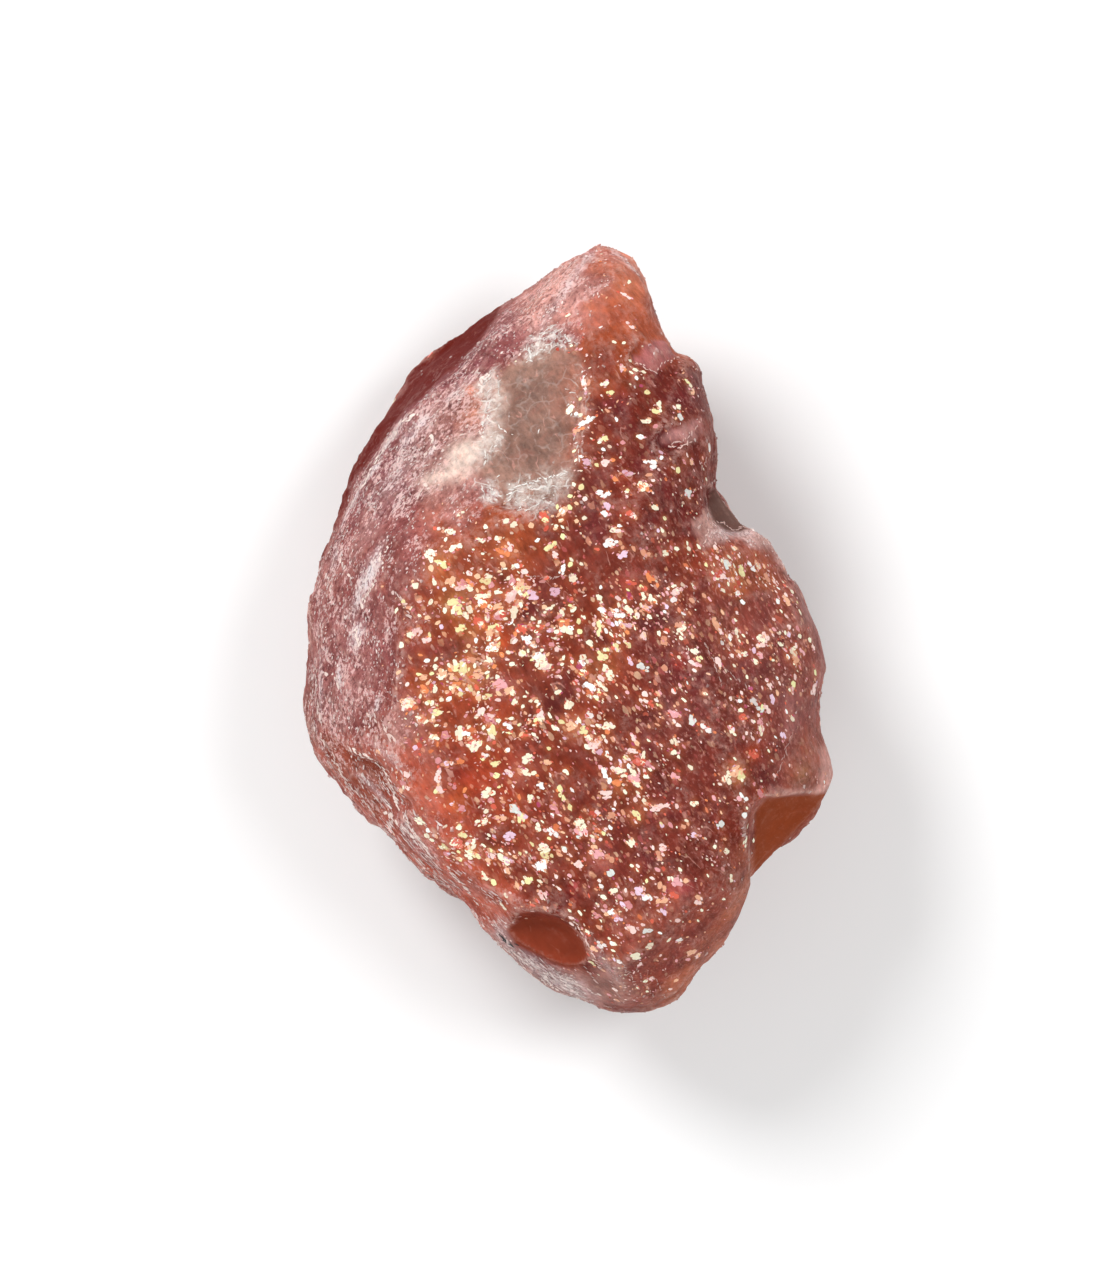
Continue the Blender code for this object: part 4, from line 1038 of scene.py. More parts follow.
def stone_tint(zones):
    """Colour at each point of the bare stone and of the frosted stone, before the hollows."""
    points, frosted = zones.points, zones.frosted
    patches = np.clip(noise_at(points, *BROWN_PATCHES) * 1.6 + 0.4, 0, 1)
    tint = blend(np.tile(linear(TERRACOTTA), (len(points), 1)), BROWN_RED, patches)
    tint = blend(tint, MAUVE, 0.75 * zones.back)
    for corners, colour, strength, softness in ZONES:
        tint = blend(tint, colour, strength * zones.inside(corners, softness))
    drift = 2.0 * noise_at(points, *STONE_DRIFT) * (1 - frosted) * zones.front
    tint = blend(tint, RUST, 0.35 * np.clip(drift, 0, 1) * np.clip((6 - zones.x) / 8, 0.3, 1))
    tint = blend(tint, WINE, 0.45 * np.clip(-drift, 0, 1))
    tint = blend(tint, MAUVE, 0.96 * frosted)
    for corners, colour, strength, softness in FROST_ZONES:
        tint = blend(tint, colour, strength * zones.inside(corners, softness))
    drift = 2.2 * noise_at(turned(points, 70), *FROST_DRIFT)
    drift *= np.maximum(frosted, zones.back) * (1 - zones.window) * (1 - zones.clouded)
    tint = blend(tint, ROSE_SHADE, 0.5 * np.clip(drift, 0, 1))
    return blend(tint, ROSE_PALE, 0.45 * np.clip(-drift, 0, 1))


def frost_of(zones, smooth):
    """Share of frost at each point, before the streaks in it."""
    frost = np.maximum.reduce([zones.frosted, 0.7 * zones.back, 0.7 * zones.inside(LOBE_TOP, 0.5),
                               0.8 * zones.inside(LOBE_RIM, 0.6)])
    frost *= (1 - zones.window) * (1 - smooth) * (1 - 0.85 * zones.flank) * (1 - 0.75 * zones.clouded)
    frost *= (1 - 0.25 * zones.inside(SCOOP_RIM, 1.0)) * (1 - 0.15 * zones.inside(LOWER_SLOPE, 1.2))
    return frost


def glitter_of(zones, normals, frost, smooth, crackle):
    """Share of glitter at each point: most on the open front, none where the stone is bare."""
    x, y, inside = zones.x, zones.y, zones.inside
    bare = np.maximum.reduce([
        np.clip(1.4 * frost, 0, 1), np.clip(1.5 * crackle, 0, 1), np.clip(2 * inside(CLOUDED, 2.0), 0, 1),
        zones.window, zones.flank, smooth,
        0.8 * inside(PEAK, 1.0), 0.9 * inside(FACET, 0.3), 0.8 * inside(PIT, 0.4)])
    glitter = (1 - bare) * (0.25 + 0.75 * zones.front * share_between(normals[:, 2], 0.3, 0.6))
    for corners, softness, share in THIN_GLITTER:
        glitter *= 1 - share * inside(corners, softness)
    # fewer towards the right, the lower right and the low centre
    glitter *= 1 - 0.27 * share_between(x, 3, 7)
    glitter *= 1 - 0.42 * share_between(x, 4, 8) * share_between(y, -5, -9)
    glitter *= 1 - 0.2 * share_between(x, -8, -5) * share_between(x, 5, 2) * share_between(y, -4, -7)
    return np.clip((glitter - 0.15) / 0.8, 0, 1)


def finish_of(mesh):
    """Colour of the stone at each point, and the masks of its finish."""
    points, normals = read_points(mesh), read_normals(mesh)
    zones = Zones(points)
    tint = stone_tint(zones)
    smooth = np.zeros(len(points))
    for corners, colour, reach, lowest in HOLLOWS:
        hollow = zones.hollow(corners, reach, lowest)
        tint = blend(tint, colour, 0.95 * hollow)
        smooth = np.maximum(smooth, hollow)
    # the long flank: its deep red, darkened with painted shade
    tint = blend(tint, SHADED_DEEP_RED, 0.95 * zones.flank)
    whitened = zones.streaks() * (1 - smooth)
    tint = blend(tint, STREAK_WHITE, 0.75 * whitened)
    frost = np.maximum(frost_of(zones, smooth), whitened)
    crackle = np.maximum.reduce([strength * zones.inside(corners, 0.7) for corners, strength in CRACKLED])
    glitter = glitter_of(zones, normals, frost, smooth, crackle)
    masks = {"frost": np.clip(frost, 0, 1), "white": np.clip(whitened, 0, 1), "crackle": crackle,
             "smooth": np.maximum(smooth, zones.flank), "glitter": glitter,
             "edge": bruised_edges(mesh, points, normals)}
    return tint, masks


def painted_glow_spots(surface, clusters):
    """The painted glows and the spots below the surface, and a painted glow around each spangle: place,
    radius, colour, strength.
    """
    spots = [(surface.above(x, y)[0], radius, colour, PAINTED_GLOW_STRENGTH * strength)
             for x, y, radius, colour, strength in PAINTED_GLOWS_AND_SPOTS]
    least, more = PAINTED_SPANGLE_GLOW_RADIUS
    spots += [(place, least + more * length, ORANGE, PAINTED_SPANGLE_GLOW)
              for place, _, _, length, *_ in clusters]
    return spots


def paint_glows_around(mesh, tint, spots):
    """Mixes a soft spot of colour, mostly painted glow, into the tint at each of the spots."""
    tree = point_tree(read_points(mesh))
    for place, radius, colour, strength in spots:
        near = tree.find_range(place, 1.8 * radius)
        which = [k for _, k, _ in near]
        reach = np.array([d for _, _, d in near]) / radius
        share = (strength * np.exp(-1.6 * reach**2))[:, None]
        tint[which] = tint[which] * (1 - share) + linear(colour) * share
    return tint


def store(mesh, tint, masks):
    """Keeps the colour and the masks as attributes that the material reads."""
    colour = mesh.attributes.new("tint", "FLOAT_COLOR", "POINT")
    colour.data.foreach_set("color", np.hstack([tint, np.ones((len(tint), 1))]).ravel())
    for name, values in masks.items():
        mesh.attributes.new(name, "FLOAT", "POINT").data.foreach_set("value", values)


# Nodes

def node(tree, kind, inputs=None, **settings):
    """Adds a shader node, with each input set to a value or linked from a socket."""
    made = tree.nodes.new(kind)
    for key, value in settings.items():
        setattr(made, key, value)
    for key, value in (inputs or {}).items():
        if isinstance(value, bpy.types.NodeSocket):
            tree.links.new(value, made.inputs[key])
        else:
            made.inputs[key].default_value = value
    return made


def mixed(tree, share, a, b, kind="MIX"):
    """A mix of two colours by share."""
    inputs = {0: share, 6: a, 7: b}
    return node(tree, "ShaderNodeMix", inputs, data_type="RGBA", blend_type=kind).outputs[2]


def calculated(tree, operation, first, *others):
    """A chain of the same operation over numbers and sockets."""
    for other in others:
        first = node(tree, "ShaderNodeMath", {0: first, 1: other}, operation=operation).outputs[0]
    return first


def product(tree, *values):
    return calculated(tree, "MULTIPLY", *values)


def vectors(tree, operation, a, b):
    """Two vectors, added, subtracted or multiplied."""
    return node(tree, "ShaderNodeVectorMath", {0: a, 1: b}, operation=operation).outputs[0]


def ramp(tree, value, low, high, start=0.0, end=1.0):
    """value between low and high, as start to end, held beyond them."""
    inputs = {"Value": value, "From Min": low, "From Max": high, "To Min": start, "To Max": end}
    return node(tree, "ShaderNodeMapRange", inputs).outputs[0]


def attribute(tree, name, output="Fac"):
    """One of the values that store() keeps at each point."""
    return node(tree, "ShaderNodeAttribute", attribute_name=name).outputs[output]


def grey(tree, value):
    return node(tree, "ShaderNodeCombineColor", {0: value, 1: value, 2: value}).outputs[0]


def place_mm(tree, turn=0.0, stretch=(1, 1, 1)):
    """The place on the object in millimetres, turned about Z and stretched."""
    source = node(tree, "ShaderNodeTexCoord").outputs["Object"]
    place = node(tree, "ShaderNodeVectorRotate", {"Vector": source, "Angle": math.radians(turn)}).outputs[0]
    return vectors(tree, "MULTIPLY", place, tuple(s / MM for s in stretch))


def grain(tree, place, size, detail=3.0, roughness=0.55, distortion=0.0):
    """Noise with features of that size."""
    inputs = {"Vector": place, "Scale": 1 / size, "Detail": detail, "Roughness": roughness,
              "Distortion": distortion}
    return node(tree, "ShaderNodeTexNoise", inputs).outputs[0]


def warped(tree, place, size, reach):
    """The place, pushed about by noise so that what follows it has ragged edges."""
    push = node(tree, "ShaderNodeTexNoise", {"Vector": place, "Scale": 1 / size, "Detail": 2.0}).outputs[1]
    push = vectors(tree, "SUBTRACT", push, (0.5, 0.5, 0.5))
    return vectors(tree, "ADD", place, vectors(tree, "MULTIPLY", push, (2 * reach,) * 3))


def cells(tree, place, size, feature="F1"):
    return node(tree, "ShaderNodeTexVoronoi", {"Vector": place, "Scale": 1 / size}, feature=feature)


def veins(tree, place, size, width):
    """Thin winding lines: 1 on a line and 0 away from it."""
    away = calculated(tree, "SUBTRACT", grain(tree, place, size, 2.0, 0.5), 0.5)
    away = node(tree, "ShaderNodeMath", {0: away}, operation="ABSOLUTE").outputs[0]
    return ramp(tree, away, 0.0, width, 1.0, 0.0)


def specks(tree, place, size, share, seed):
    """Ragged specks in a share of cells of that size: where they are, and a random number of each."""
    moved = vectors(tree, "ADD", place, (seed, seed, seed))
    cell = cells(tree, warped(tree, moved, 0.6 * size, 0.35 * size), size)
    parts = node(tree, "ShaderNodeSeparateColor", {0: cell.outputs["Color"]})
    there = ramp(tree, parts.outputs[0], 1 - share, 1.02 - share)
    reach = ramp(tree, parts.outputs[1], 0.0, 1.0, 0.16, 0.46)
    within = ramp(tree, calculated(tree, "SUBTRACT", reach, cell.outputs["Distance"]), 0.0, 0.1)
    return product(tree, there, within), parts.outputs[2]


def palette(tree, value, colours):
    """Picks one of the colours by a number from 0 to 1."""
    made = node(tree, "ShaderNodeValToRGB", {0: value})
    steps = made.color_ramp.elements
    made.color_ramp.interpolation = "CONSTANT"
    while len(steps) < len(colours):
        steps.new(0.5)
    for k, colour in enumerate(colours):
        steps[k].position = k / len(colours)
        steps[k].color = rgba(colour)
    return made.outputs[0]


def rgba(colour):
    return (*linear(colour), 1)


def new_material(name):
    material = bpy.data.materials.new(name)
    material.use_nodes = True
    return material, material.node_tree, material.node_tree.nodes["Principled BSDF"]


def mottled(tree, place, streaks, calm):
    """The colour of the stone, light and dark in its depth, with fine streaks along the cleavage."""
    shade = ramp(tree, grain(tree, place, 2.0, 6.0, 0.66, 0.5), 0.3, 0.7, 0.68, 1.26)
    shade = product(tree, shade, ramp(tree, streaks, 0.3, 0.7, 0.66, 1.2))
    shade = calculated(tree, "ADD", product(tree, calculated(tree, "SUBTRACT", shade, 1.0), calm), 1.0)
    return mixed(tree, 1.0, attribute(tree, "tint", "Color"), grey(tree, shade), "MULTIPLY")


def with_veils(tree, colour, place, streaked, calm):
    """Adds pale veils and thin buried cracks."""
    veil = product(tree, ramp(tree, grain(tree, place, 1.5, 5.0, 0.65, 1.2), 0.52, 0.78), 0.4, calm)
    colour = mixed(tree, veil, colour, rgba(VEIL_ROSE))
    buried = ramp(tree, grain(tree, place, 0.9, 3.0), 0.54, 0.62)
    crack = product(tree, veins(tree, streaked, 1.1, 0.02), buried, 0.5, calm)
    return mixed(tree, crack, colour, rgba(BURIED_CRACK))


def with_strokes(tree, colour, x, leaning, calm):
    """Adds fine pale strokes on the right-hand side."""
    strokes = ramp(tree, grain(tree, leaning, 0.22, 3.0, 0.6), 0.54, 0.64)
    strokes = product(tree, strokes, ramp(tree, x, 1.0, 8.0), 0.26, calm)
    return mixed(tree, strokes, colour, rgba(STROKE_ROSE))


def with_glitter(tree, colour, place, leaning, glitter):
    """Adds fine glitter, too small to be pieces of its own, in tints that are partly painted glint."""
    crowd = ramp(tree, grain(tree, place, 1.6, 3.0), 0.35, 0.62, 0.35, 1.0)
    for size, share, seed, strength in GLITTER_LAYERS:
        there, pick = specks(tree, leaning, size, share, seed)
        seen = product(tree, there, glitter, crowd, strength)
        colour = mixed(tree, seen, colour, palette(tree, pick, FINE_GLITTER))
    return colour


def slope_grain(tree, y):
    """Fine crumbs, and larger patches, that lie as LIE_OF_FROST says."""
    upper, lower = ramp(tree, y, *UPPER_SLOPES), ramp(tree, y, *LOWER_SLOPES)
    crumbs, patch = 0.0, 0.0
    shares = (upper, calculated(tree, "SUBTRACT", 1.0, upper, lower), lower)
    for lie, share in zip(LIE_OF_FROST, shares):
        along = place_mm(tree, turn=-lie, stretch=(0.66, 1.0, 1.0))
        crumbs = calculated(tree, "ADD", crumbs, product(tree, grain(tree, along, 0.2, 4.0, 0.72), share))
        patch = calculated(tree, "ADD", patch, product(tree, grain(tree, along, 1.1, 5.0, 0.68, 0.6), share))
    return crumbs, patch


def with_frost(tree, colour, crumbs, patch, frost, white):
    """Adds the crumbled grains of the frosted slopes, bare patches, and painted shade in the gaps between
    them.
    """
    bare = calculated(tree, "SUBTRACT", 1.0, white)
    bare = product(tree, ramp(tree, patch, 0.5, 0.36), frost, bare, 0.5)
    colour = mixed(tree, bare, colour, rgba(BARE_GRAIN))
    bruise = calculated(tree, "ADD", patch, product(tree, white, 0.12))
    bright = ramp(tree, calculated(tree, "ADD", crumbs, bruise), 1.06, 1.12)
    pale = mixed(tree, white, rgba(PALE_GRAIN), rgba(WHITE_GRAIN))
    colour = mixed(tree, product(tree, bright, frost, 0.85), colour, pale)
    # painted shade where the grains' relief is low
    dark = product(tree, ramp(tree, crumbs, 0.47, 0.39), frost, 0.75)
    return mixed(tree, dark, colour, rgba(GAP_SHADE))


def crackle_lines(tree, place, crackle):
    """The white crackle of the clear window: a net of cracks, winding lines and clouds."""
    bent = warped(tree, place, 0.9, 0.35)
    net = ramp(tree, cells(tree, bent, 1.1, "DISTANCE_TO_EDGE").outputs["Distance"], 0.02, 0.07, 1.0, 0.0)
    lines = calculated(tree, "MAXIMUM", net, product(tree, veins(tree, bent, 0.8, 0.035), 0.6))
    lines = product(tree, lines, ramp(tree, grain(tree, place, 0.6, 3.0), 0.4, 0.56))
    cloud = ramp(tree, grain(tree, bent, 0.5, 6.0, 0.7), 0.4, 0.62)
    return product(tree, calculated(tree, "MAXIMUM", lines, product(tree, cloud, crackle)), crackle)


def feldspar():
    """Red feldspar with veils, fine glitter, frosted slopes and a clear crackled window."""
    material, tree, shader = new_material("red_feldspar_fine")
    place = place_mm(tree)
    streaked = place_mm(tree, turn=55.0, stretch=(0.3, 1.0, 1.0))
    leaning = place_mm(tree, turn=55.0, stretch=(0.6, 1.0, 1.0))
    x, y, _ = node(tree, "ShaderNodeSeparateXYZ", {0: place}).outputs
    frost, white, crackle = (attribute(tree, name) for name in ("frost", "white", "crackle"))
    glitter, smooth, edge = (attribute(tree, name) for name in ("glitter", "smooth", "edge"))
    calm = ramp(tree, smooth, 0.0, 1.0, 1.0, 0.25)
    streaks = grain(tree, streaked, 0.32, 4.0, 0.62)
    crumbs, patch = slope_grain(tree, y)
    lines = crackle_lines(tree, place, crackle)

    colour = mottled(tree, place, streaks, calm)
    colour = with_veils(tree, colour, place, streaked, calm)
    colour = with_strokes(tree, colour, x, leaning, calm)
    colour = with_glitter(tree, colour, place, leaning, glitter)
    colour = with_frost(tree, colour, crumbs, patch, frost, white)
    colour = mixed(tree, lines, colour, rgba(CRACK_WHITE))
    broken = product(tree, edge, calm, ramp(tree, grain(tree, place, 0.4, 4.0, 0.7), 0.4, 0.6), 0.55)
    colour = mixed(tree, broken, colour, rgba(BRUISE))
    tree.links.new(colour, shader.inputs["Base Color"])

    rough = ramp(tree, grain(tree, place, 0.6, 4.0, 0.6), 0.3, 0.7, 0.38, 0.52)
    rough = calculated(tree, "ADD", rough, product(tree, frost, 0.2), product(tree, smooth, 0.3))
    tree.links.new(rough, shader.inputs["Roughness"])

    fine = product(tree, grain(tree, place, 0.14, 4.0, 0.6), 0.6)
    relief = product(tree, calculated(tree, "ADD", product(tree, streaks, 0.7), fine), calm)
    relief = calculated(tree, "ADD", relief, product(tree, crumbs, frost, 2.2), product(tree, lines, 0.8))
    bump = node(tree, "ShaderNodeBump", {"Height": relief, "Distance": 0.1 * MM, "Strength": 0.9})
    tree.links.new(bump.outputs[0], shader.inputs["Normal"])

    shader.inputs["Subsurface Weight"].default_value = 0.18
    shader.inputs["Subsurface Radius"].default_value = (1.0, 0.4, 0.25)
    shader.inputs["Subsurface Scale"].default_value = 0.8 * MM
    shader.inputs["Specular IOR Level"].default_value = 0.05
    shader.inputs["IOR"].default_value = 1.54
    return material


def flake_material(name, metallic, roughness, cloud):
    """Small pieces that each have their own colour, with a cloudy break of that strength in it."""
    material, tree, shader = new_material(name)
    place = place_mm(tree)
    cloudy = ramp(tree, grain(tree, place, 0.16, 3.0, 0.6), 0.3, 0.7, 1 - cloud, 1.0)
    colour = mixed(tree, 1.0, attribute(tree, "tint", "Color"), grey(tree, cloudy), "MULTIPLY")
    tree.links.new(colour, shader.inputs["Base Color"])
    rough = ramp(tree, grain(tree, place, 0.3, 2.0), 0.3, 0.7, *roughness)
    tree.links.new(rough, shader.inputs["Roughness"])
    shader.inputs["Metallic"].default_value = metallic
    shader.inputs["Specular IOR Level"].default_value = 0.4
    return material


# Spangles

def pick_colour(rng, name):
    """One of the colours of a palette, drawn by their shares."""
    colours, weights = zip(*PALETTES[name])
    weights = np.array(weights)
    return colours[rng.choice(len(colours), p=weights / weights.sum())]


def side_of(x, y):
    """Which of PALETTES the bright spangles there are drawn from."""
    if x < -1 and y < 2:
        return "left"
    return "right" if x - 0.4 * y > 5 else "middle"


def leaning_at(x, y):
    """Whether the spangles there are narrow and lean the same way."""
    return x - 0.5 * y > 1


def lie_of(rng, x, y):
    """A random direction for a spangle there, in degrees."""
    if leaning_at(x, y):
        return rng.normal(-48, 16)
    return rng.normal(10, 45)


class Surface:
    """The skin as triangles, to find places on it."""

    def __init__(self, mesh):
        mesh.calc_loop_triangles()
        corners = np.empty(len(mesh.loop_triangles) * 3, int)
        mesh.loop_triangles.foreach_get("vertices", corners)
        self.triangles = corners.reshape(-1, 3)
        self.points, self.normals = read_points(mesh), read_normals(mesh)
        a, b, c = (self.points[self.triangles[:, k]] for k in range(3))
        self.areas = np.linalg.norm(np.cross(b - a, c - a), axis=1) / 2
        self.tree = BVHTree.FromPolygons(self.points.tolist(), self.triangles.tolist())

    def scatter(self, rng, count, weights):
        """Random places and normals, where the weights of the points say."""
        chance = self.areas * weights[self.triangles].mean(1)
        chosen = rng.choice(len(self.triangles), count, p=chance / chance.sum())
        share = rng.dirichlet((1, 1, 1), count)[:, :, None]
        places = (self.points[self.triangles[chosen]] * share).sum(1)
        normals = (self.normals[self.triangles[chosen]] * share).sum(1)
        return places, normals / np.linalg.norm(normals, axis=1)[:, None]

    def above(self, x, y):
        """The place and normal straight below a point high over x, y, or else nearest to it."""
        place, normal, _, _ = self.tree.ray_cast(Vector((x, y, HIGH_ABOVE)), Vector((0, 0, -1)))
        return (np.array(place), np.array(normal)) if place else self.nearest((x, y, RIM_HEIGHT))

    def nearest(self, place):
        found, normal, _, _ = self.tree.find_nearest(Vector(place))
        return np.array(found), np.array(normal)


def plan_clusters(rng, surface, glitter, crowd):
    """Every cluster: place, normal, direction, length, width, colour and painted glint brightness."""
    plan = []
    for x, y, length, width, direction, colour in NOTED:
        place, normal = surface.above(x, y)
        plan.append((place, normal, direction, length, width, colour, rng.uniform(0.92, 1.0)))
    places, normals = surface.scatter(rng, CLUSTERS, glitter**1.5 * crowd)
    for place, normal in zip(places, normals):
        x, y = place[:2]
        length = min(0.26 + rng.lognormal(-2.15, 0.8), 1.0)
        narrow = 0.12 if leaning_at(x, y) else 0.0
        light = rng.choice(GLINT_BRIGHTNESS, p=GLINT_BRIGHTNESS_SHARES)
        colour = pick_colour(rng, side_of(x, y) if light > DIM_LIMIT else "dim")
        direction = lie_of(rng, x, y)
        width = length * (rng.uniform(0.5, 0.9) - narrow)
        plan.append((place, normal, direction, length, width, colour, light))
    return plan


def plate(rng, centre, normal, along, length, width, most=8):
    """Corners of a ragged plate: the ring of its top, with most corners or a few less, then its foot."""
    across = np.cross(normal, along)
    count = rng.integers(most - 3, most + 1)
    turns = 2 * math.pi * (np.arange(count) + rng.uniform(-0.3, 0.3, count)) / count
    reach = rng.uniform(0.8, 1.12, count)
    flat = ((np.cos(turns) * reach * length / 2)[:, None] * along
            + (np.sin(turns) * reach * width / 2)[:, None] * across)
    return np.vstack([centre + flat + normal * PLATE_PROUD, centre - normal * PLATE_DEEP])


def direction_on(normal, degrees):
    """The unit direction in the surface that lies nearest to a compass direction."""
    along = np.array([math.cos(math.radians(degrees)), math.sin(math.radians(degrees)), 0])
    along = along - normal * (along @ normal)
    return along / np.linalg.norm(along)


class Pieces:
    """Many small closed pieces that become one mesh, each with its own colour."""

    def __init__(self):
        self.corners, self.faces, self.tints = [], [], []

    def add_plate(self, corners, colour):
        """A plate from its corners: the ring of its top, then its foot."""
        first, count = len(self.corners), len(corners) - 1
        self.corners += list(corners)
        self.tints += [(*colour, 1.0)] * len(corners)
        self.faces.append(tuple(first + k for k in range(count)))
        self.faces += [(first + (k + 1) % count, first + k, first + count) for k in range(count)]

    def add_crumb(self, corners, colour):
        """An eight-sided crumb from its six corners: top, four around, bottom."""
        first = len(self.corners)
        self.corners += list(corners)
        self.tints += [(*colour, 1.0)] * 6
        for k in range(4):
            a, b = first + 1 + k, first + 1 + (k + 1) % 4
            self.faces += [(first, a, b), (first + 5, b, a)]

    def build(self, name, material):
        """All of them as one object of that material."""
        mesh = bpy.data.meshes.new(name)
        mesh.from_pydata([tuple(p * MM) for p in self.corners], [], self.faces)
        tints = np.array(self.tints).ravel()
        mesh.attributes.new("tint", "FLOAT_COLOR", "POINT").data.foreach_set("color", tints)
        mesh.materials.append(material)
        made = bpy.data.objects.new(name, mesh)
        bpy.context.scene.collection.objects.link(made)
        return made


def tilted(rng, normal, spread):
    """The normal, leaning a little in a random direction."""
    normal = normal + rng.normal(0, spread, 3)
    return normal / np.linalg.norm(normal)


def glint_and_depth_colour(colour, light):
    """A spangle's colour as it shows from below a little of the red stone, with its painted glint dimmed by
    the brightness.
    """
    return linear(colour) * light ** GLINT_AND_DEPTH_LOSS + linear(DEEP_STONE) * (1 - light)


def add_spangle(pieces, rng, spot, along, length, width, colour, light):
    """One plate, set a little askew at a place and normal."""
    place, normal = spot
    corners = plate(rng, place, tilted(rng, normal, PLATE_TILT), along, length, width)
    pieces.add_plate(corners, glint_and_depth_colour(colour, light))


def beside(rng, surface, place, along, across, reach):
    """A random place on the skin near another, with its normal."""
    out, turn = math.sqrt(rng.uniform(0, reach)), rng.uniform(0, 2 * math.pi)
    return surface.nearest(place + (along * math.cos(turn) + across * math.sin(turn)) * out / 2)


def add_cluster(pieces, rng, surface, cluster):
    """A single plate, or a cluster of plates with smaller and duller ones around them."""
    place, normal, direction, length, width, colour, light = cluster
    along = direction_on(normal, direction)
    if length < SINGLE_PLATE:
        add_spangle(pieces, rng, (place, normal), along, length, width, colour, light)
        return
    spread = along * length, np.cross(normal, along) * width
    for _ in range(int(np.clip(round(length * width / PLATE_AREA), 2, 14))):
        size = rng.uniform(0.22, 0.46)
        spot = beside(rng, surface, place, *spread, 0.6)
        narrow = size * rng.uniform(0.55, 0.9)
        add_spangle(pieces, rng, spot, along, size, narrow, colour, light * rng.uniform(0.9, 1.0))
    for _ in range(int(6 * length)):
        size = rng.uniform(0.14, 0.26)
        spot = beside(rng, surface, place, *spread, 2.2)
        narrow = size * rng.uniform(0.5, 0.9)
        dull = pick_colour(rng, "dim")
        add_spangle(pieces, rng, spot, along, size, narrow, dull, light * rng.uniform(0.6, 1.0))


def build_spangles(rng, surface, plan, glitter, crowd):
    """The plates of every cluster, and the small spangles between them."""
    pieces = Pieces()
    for cluster in plan:
        add_cluster(pieces, rng, surface, cluster)
    for place, normal in zip(*surface.scatter(rng, SMALL_SPANGLES, glitter * crowd)):
        along = direction_on(normal, lie_of(rng, place[0], place[1]))
        size = 0.11 + rng.lognormal(-2.6, 0.55)
        narrow = size * rng.uniform(0.35, 0.7)
        colour = pick_colour(rng, "small")
        add_spangle(pieces, rng, (place, normal), along, size, narrow, colour, rng.uniform(0.4, 1.0))
    return pieces.build("spangles", flake_material("spangles", 0.0, (0.24, 0.42), 0.14))


# Crumbs

def add_sliver(pieces, rng, spot, direction, colour, length, width):
    """A thin pale splinter that lies on the stone, in a linear colour."""
    place, normal = spot
    along = direction_on(normal, direction)
    corners = plate(rng, place, tilted(rng, normal, PLATE_TILT), along, length, width, 6)
    pieces.add_plate(corners, colour * rng.uniform(0.82, 1.0))


def add_line(pieces, rng, surface, corners, strength, tinted, colour, wide):
    """A row of splinters along a crack; a weak one is thin and close to the stone in colour."""
    spread = 0.03 + 0.3 * wide**2
    for (ax, ay), (bx, by) in zip(corners, corners[1:]):
        direction = math.degrees(math.atan2(by - ay, bx - ax))
        steps = max(int(math.hypot(bx - ax, by - ay) / SLIVER_STEP), 1)
        for k in range(steps):
            if rng.uniform() > 0.7 + 0.3 * strength:
                continue
            share = (k + rng.uniform()) / steps
            x = ax + (bx - ax) * share + rng.normal(0, spread)
            y = ay + (by - ay) * share + rng.normal(0, spread)
            spot = surface.above(x, y)
            shade = tinted(spot[0], colour, 0.25 + 0.75 * strength)
            lie = direction + rng.normal(0, 22)
            length = rng.uniform(0.18, 0.3 + wide)
            width = wide * rng.uniform(0.4, 1.1) * (0.5 + 0.5 * strength)
            add_sliver(pieces, rng, spot, lie, shade, length, width)


def add_grains(pieces, rng, surface, weights, tinted):
    """Small angular grains half sunk in the stone, paler than it is below them."""
    for place, normal in zip(*surface.scatter(rng, CRUMBS, weights)):
        up = tilted(rng, normal, 0.25)
        along = direction_on(up, rng.normal(80, 25))
        across = np.cross(up, along)
        size = 0.05 + rng.lognormal(-2.75, 0.45)
        wide = size * rng.uniform(0.45, 0.9)
        turns = math.pi / 2 * np.arange(4) + rng.uniform(-0.5, 0.5, 4)
        around = [place + along * size * math.cos(t) * rng.uniform(0.7, 1.2) + across * wide * math.sin(t)
                  for t in turns]
        top = place + up * size * rng.uniform(0.35, 0.7) + along * size * rng.uniform(-0.3, 0.3)
        foot = place - up * 0.6 * size
        pieces.add_crumb([top, *around, foot], tinted(place, FROST_WHITE, rng.beta(1.1, 2.4)))


def add_frost_slivers(pieces, rng, surface, weights, tinted):
    """Splinters along the lie of the frost, longer and wider on the lower slopes."""
    for place, normal in zip(*surface.scatter(rng, FROST_SLIVERS, weights)):
        shares = lie_shares(place[1])
        lower = shares[2]
        pale = rng.beta(1.8, 1.3)
        direction = rng.normal(float(np.dot(LIE_OF_FROST, shares)), 24)
        length = (1 + 1.6 * lower) * rng.uniform(0.1, 0.3)
        width = rng.uniform(0.05, 0.1) * (0.6 + 0.8 * pale) * (1 + 0.6 * lower)
        add_sliver(pieces, rng, (place, normal), direction, tinted(place, SLIVER_PINK, pale), length, width)


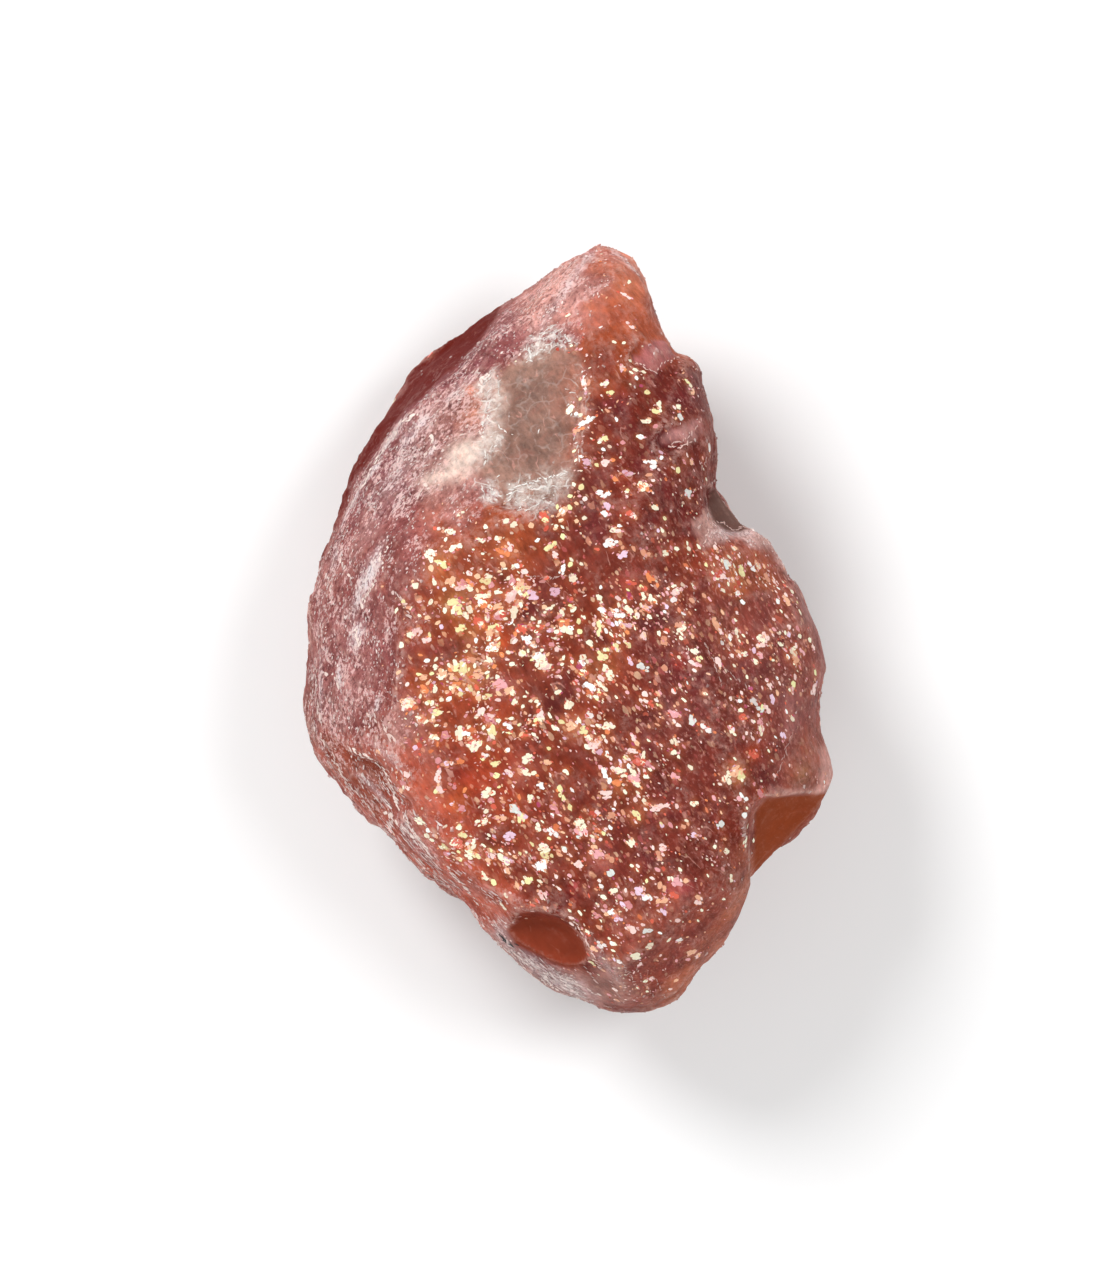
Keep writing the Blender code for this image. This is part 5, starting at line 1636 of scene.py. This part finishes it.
def build_crumbs(rng, surface, tint, masks):
    """The grains, the rows of splinters, and the splinters of the window and the frosted slopes."""
    pieces = Pieces()
    below = point_tree(surface.points)

    def tinted(place, colour, share):
        """The stone's colour at a place, mixed with a screen colour by that share of it."""
        return tint[below.find(place)[1]] * (1 - share) + linear(colour) * share

    frost, white, crackle, edge = (masks[name] for name in ("frost", "white", "crackle", "edge"))
    patchy = np.clip(noise_at(surface.points, *GRAIN_PATCHES) * 1.6 + 0.5, 0.05, 1)
    weights = 0.35 * frost + 1.2 * white + 0.9 * crackle * edge + 0.3 * edge * (1 - masks["smooth"])
    add_grains(pieces, rng, surface, np.clip(weights, 0, 1.4) * patchy, tinted)
    for lines, colour, wide in ROWS:
        for corners, strength in lines:
            add_line(pieces, rng, surface, corners, strength, tinted, colour, wide)
    for place, normal in zip(*surface.scatter(rng, WINDOW_SLIVERS, crackle**2)):
        direction = rng.normal(25, 35)
        length, width = rng.uniform(0.1, 0.4), rng.uniform(0.04, 0.1)
        add_sliver(pieces, rng, (place, normal), direction, linear(CRACK_WHITE), length, width)
    lower = lie_shares(surface.points[:, 1])[2]
    weights = np.clip(frost - 0.2, 0, 1) * (0.4 + white) * patchy**2 * (1 + 0.8 * lower)
    add_frost_slivers(pieces, rng, surface, weights, tinted)
    return pieces.build("crumbs", flake_material("crumbs", 0.0, (0.4, 0.6), 0.2))


def build_stone(low, high):
    """The fine skin of the stone, filling the solid's box."""
    stone = bpy.data.objects.new("stone", closed_skin("stone"))
    bpy.context.scene.collection.objects.link(stone)
    apply_modifier(stone, "REMESH", mode="VOXEL", voxel_size=VOXEL * MM)
    knock_scars(stone.data)
    roll_surface(stone.data)
    rest_flat(stone.data)
    fit_to_box(stone.data, low, high)
    stone.data.materials.append(feldspar())
    stone.data.shade_smooth()
    return stone


# Stage

def set_camera():
    """Looks straight down, with the stone where the photograph has it."""
    data = bpy.data.cameras.new("camera")
    data.lens = CAMERA_LENS
    data.sensor_width = SENSOR
    data.clip_end = CAMERA_REACH
    camera = bpy.data.objects.new("camera", data)
    bpy.context.scene.collection.objects.link(camera)
    away = FRAME_HIGH / PIXELS_PER_MM * CAMERA_LENS / SENSOR
    camera.location = (
        (FRAME_WIDE / 2 - STONE_AT[0]) / PIXELS_PER_MM * MM,
        (STONE_AT[1] - FRAME_HIGH / 2) / PIXELS_PER_MM * MM,
        (WIDEST_AT + away) * MM)
    bpy.context.scene.camera = camera


def area_light(name, place, size, power):
    """A soft box that faces the stone. Place and size are in metres, power in watts."""
    data = bpy.data.lights.new(name, "AREA")
    data.shape = "DISK"
    data.size = size
    data.energy = power
    lamp = bpy.data.objects.new(name, data)
    lamp.location = place
    lamp.rotation_euler = (-Vector(place)).to_track_quat("-Z", "Y").to_euler()
    bpy.context.scene.collection.objects.link(lamp)


def set_stage():
    """Pale floor, soft light from the upper left and from above, and a pale surround."""
    mesh = bpy.data.meshes.new("floor")
    corners = [(FLOOR_HALF * x, FLOOR_HALF * y, 0) for x, y in ((-1, -1), (1, -1), (1, 1), (-1, 1))]
    mesh.from_pydata(corners, [], [(0, 1, 2, 3)])
    floor = bpy.data.objects.new("floor", mesh)
    bpy.context.scene.collection.objects.link(floor)
    material, _, shader = new_material("floor")
    shader.inputs["Base Color"].default_value = (FLOOR_GREY, FLOOR_GREY, FLOOR_GREY, 1)
    shader.inputs["Roughness"].default_value = 0.9
    shader.inputs["Specular IOR Level"].default_value = 0.1
    mesh.materials.append(material)
    for name, (place, size, power) in LIGHTS.items():
        area_light(name, place, size, power)
    world = bpy.data.worlds.new("surround")
    world.use_nodes = True
    surround = world.node_tree.nodes["Background"]
    surround.inputs["Color"].default_value = (1, 1, 1, 1)
    surround.inputs["Strength"].default_value = SURROUND_STRENGTH
    bpy.context.scene.world = world
    bpy.context.scene.view_settings.view_transform = "Standard"


for old in list(bpy.data.objects):
    bpy.data.objects.remove(old)
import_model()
stone = build_stone(*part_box(NODE))
tint, masks = finish_of(stone.data)
surface = Surface(stone.data)
crowd = np.clip(noise_at(surface.points, *SPANGLE_CROWDS) * 1.8 + 0.7, 0.1, 1.5)
random = np.random.default_rng(SPANGLE_SEED)
clusters = plan_clusters(random, surface, masks["glitter"], crowd)
# painted glow around the spangles and at the listed spots, mixed into the stone's colour
tint = paint_glows_around(stone.data, tint, painted_glow_spots(surface, clusters))
store(stone.data, tint, masks)
spangles = build_spangles(random, surface, clusters, masks["glitter"], crowd)
crumbs = build_crumbs(np.random.default_rng(CRUMB_SEED), surface, tint, masks)
for piece in (stone, spangles, crumbs):
    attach(piece, "root")
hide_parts(NODE)
set_stage()
set_camera()
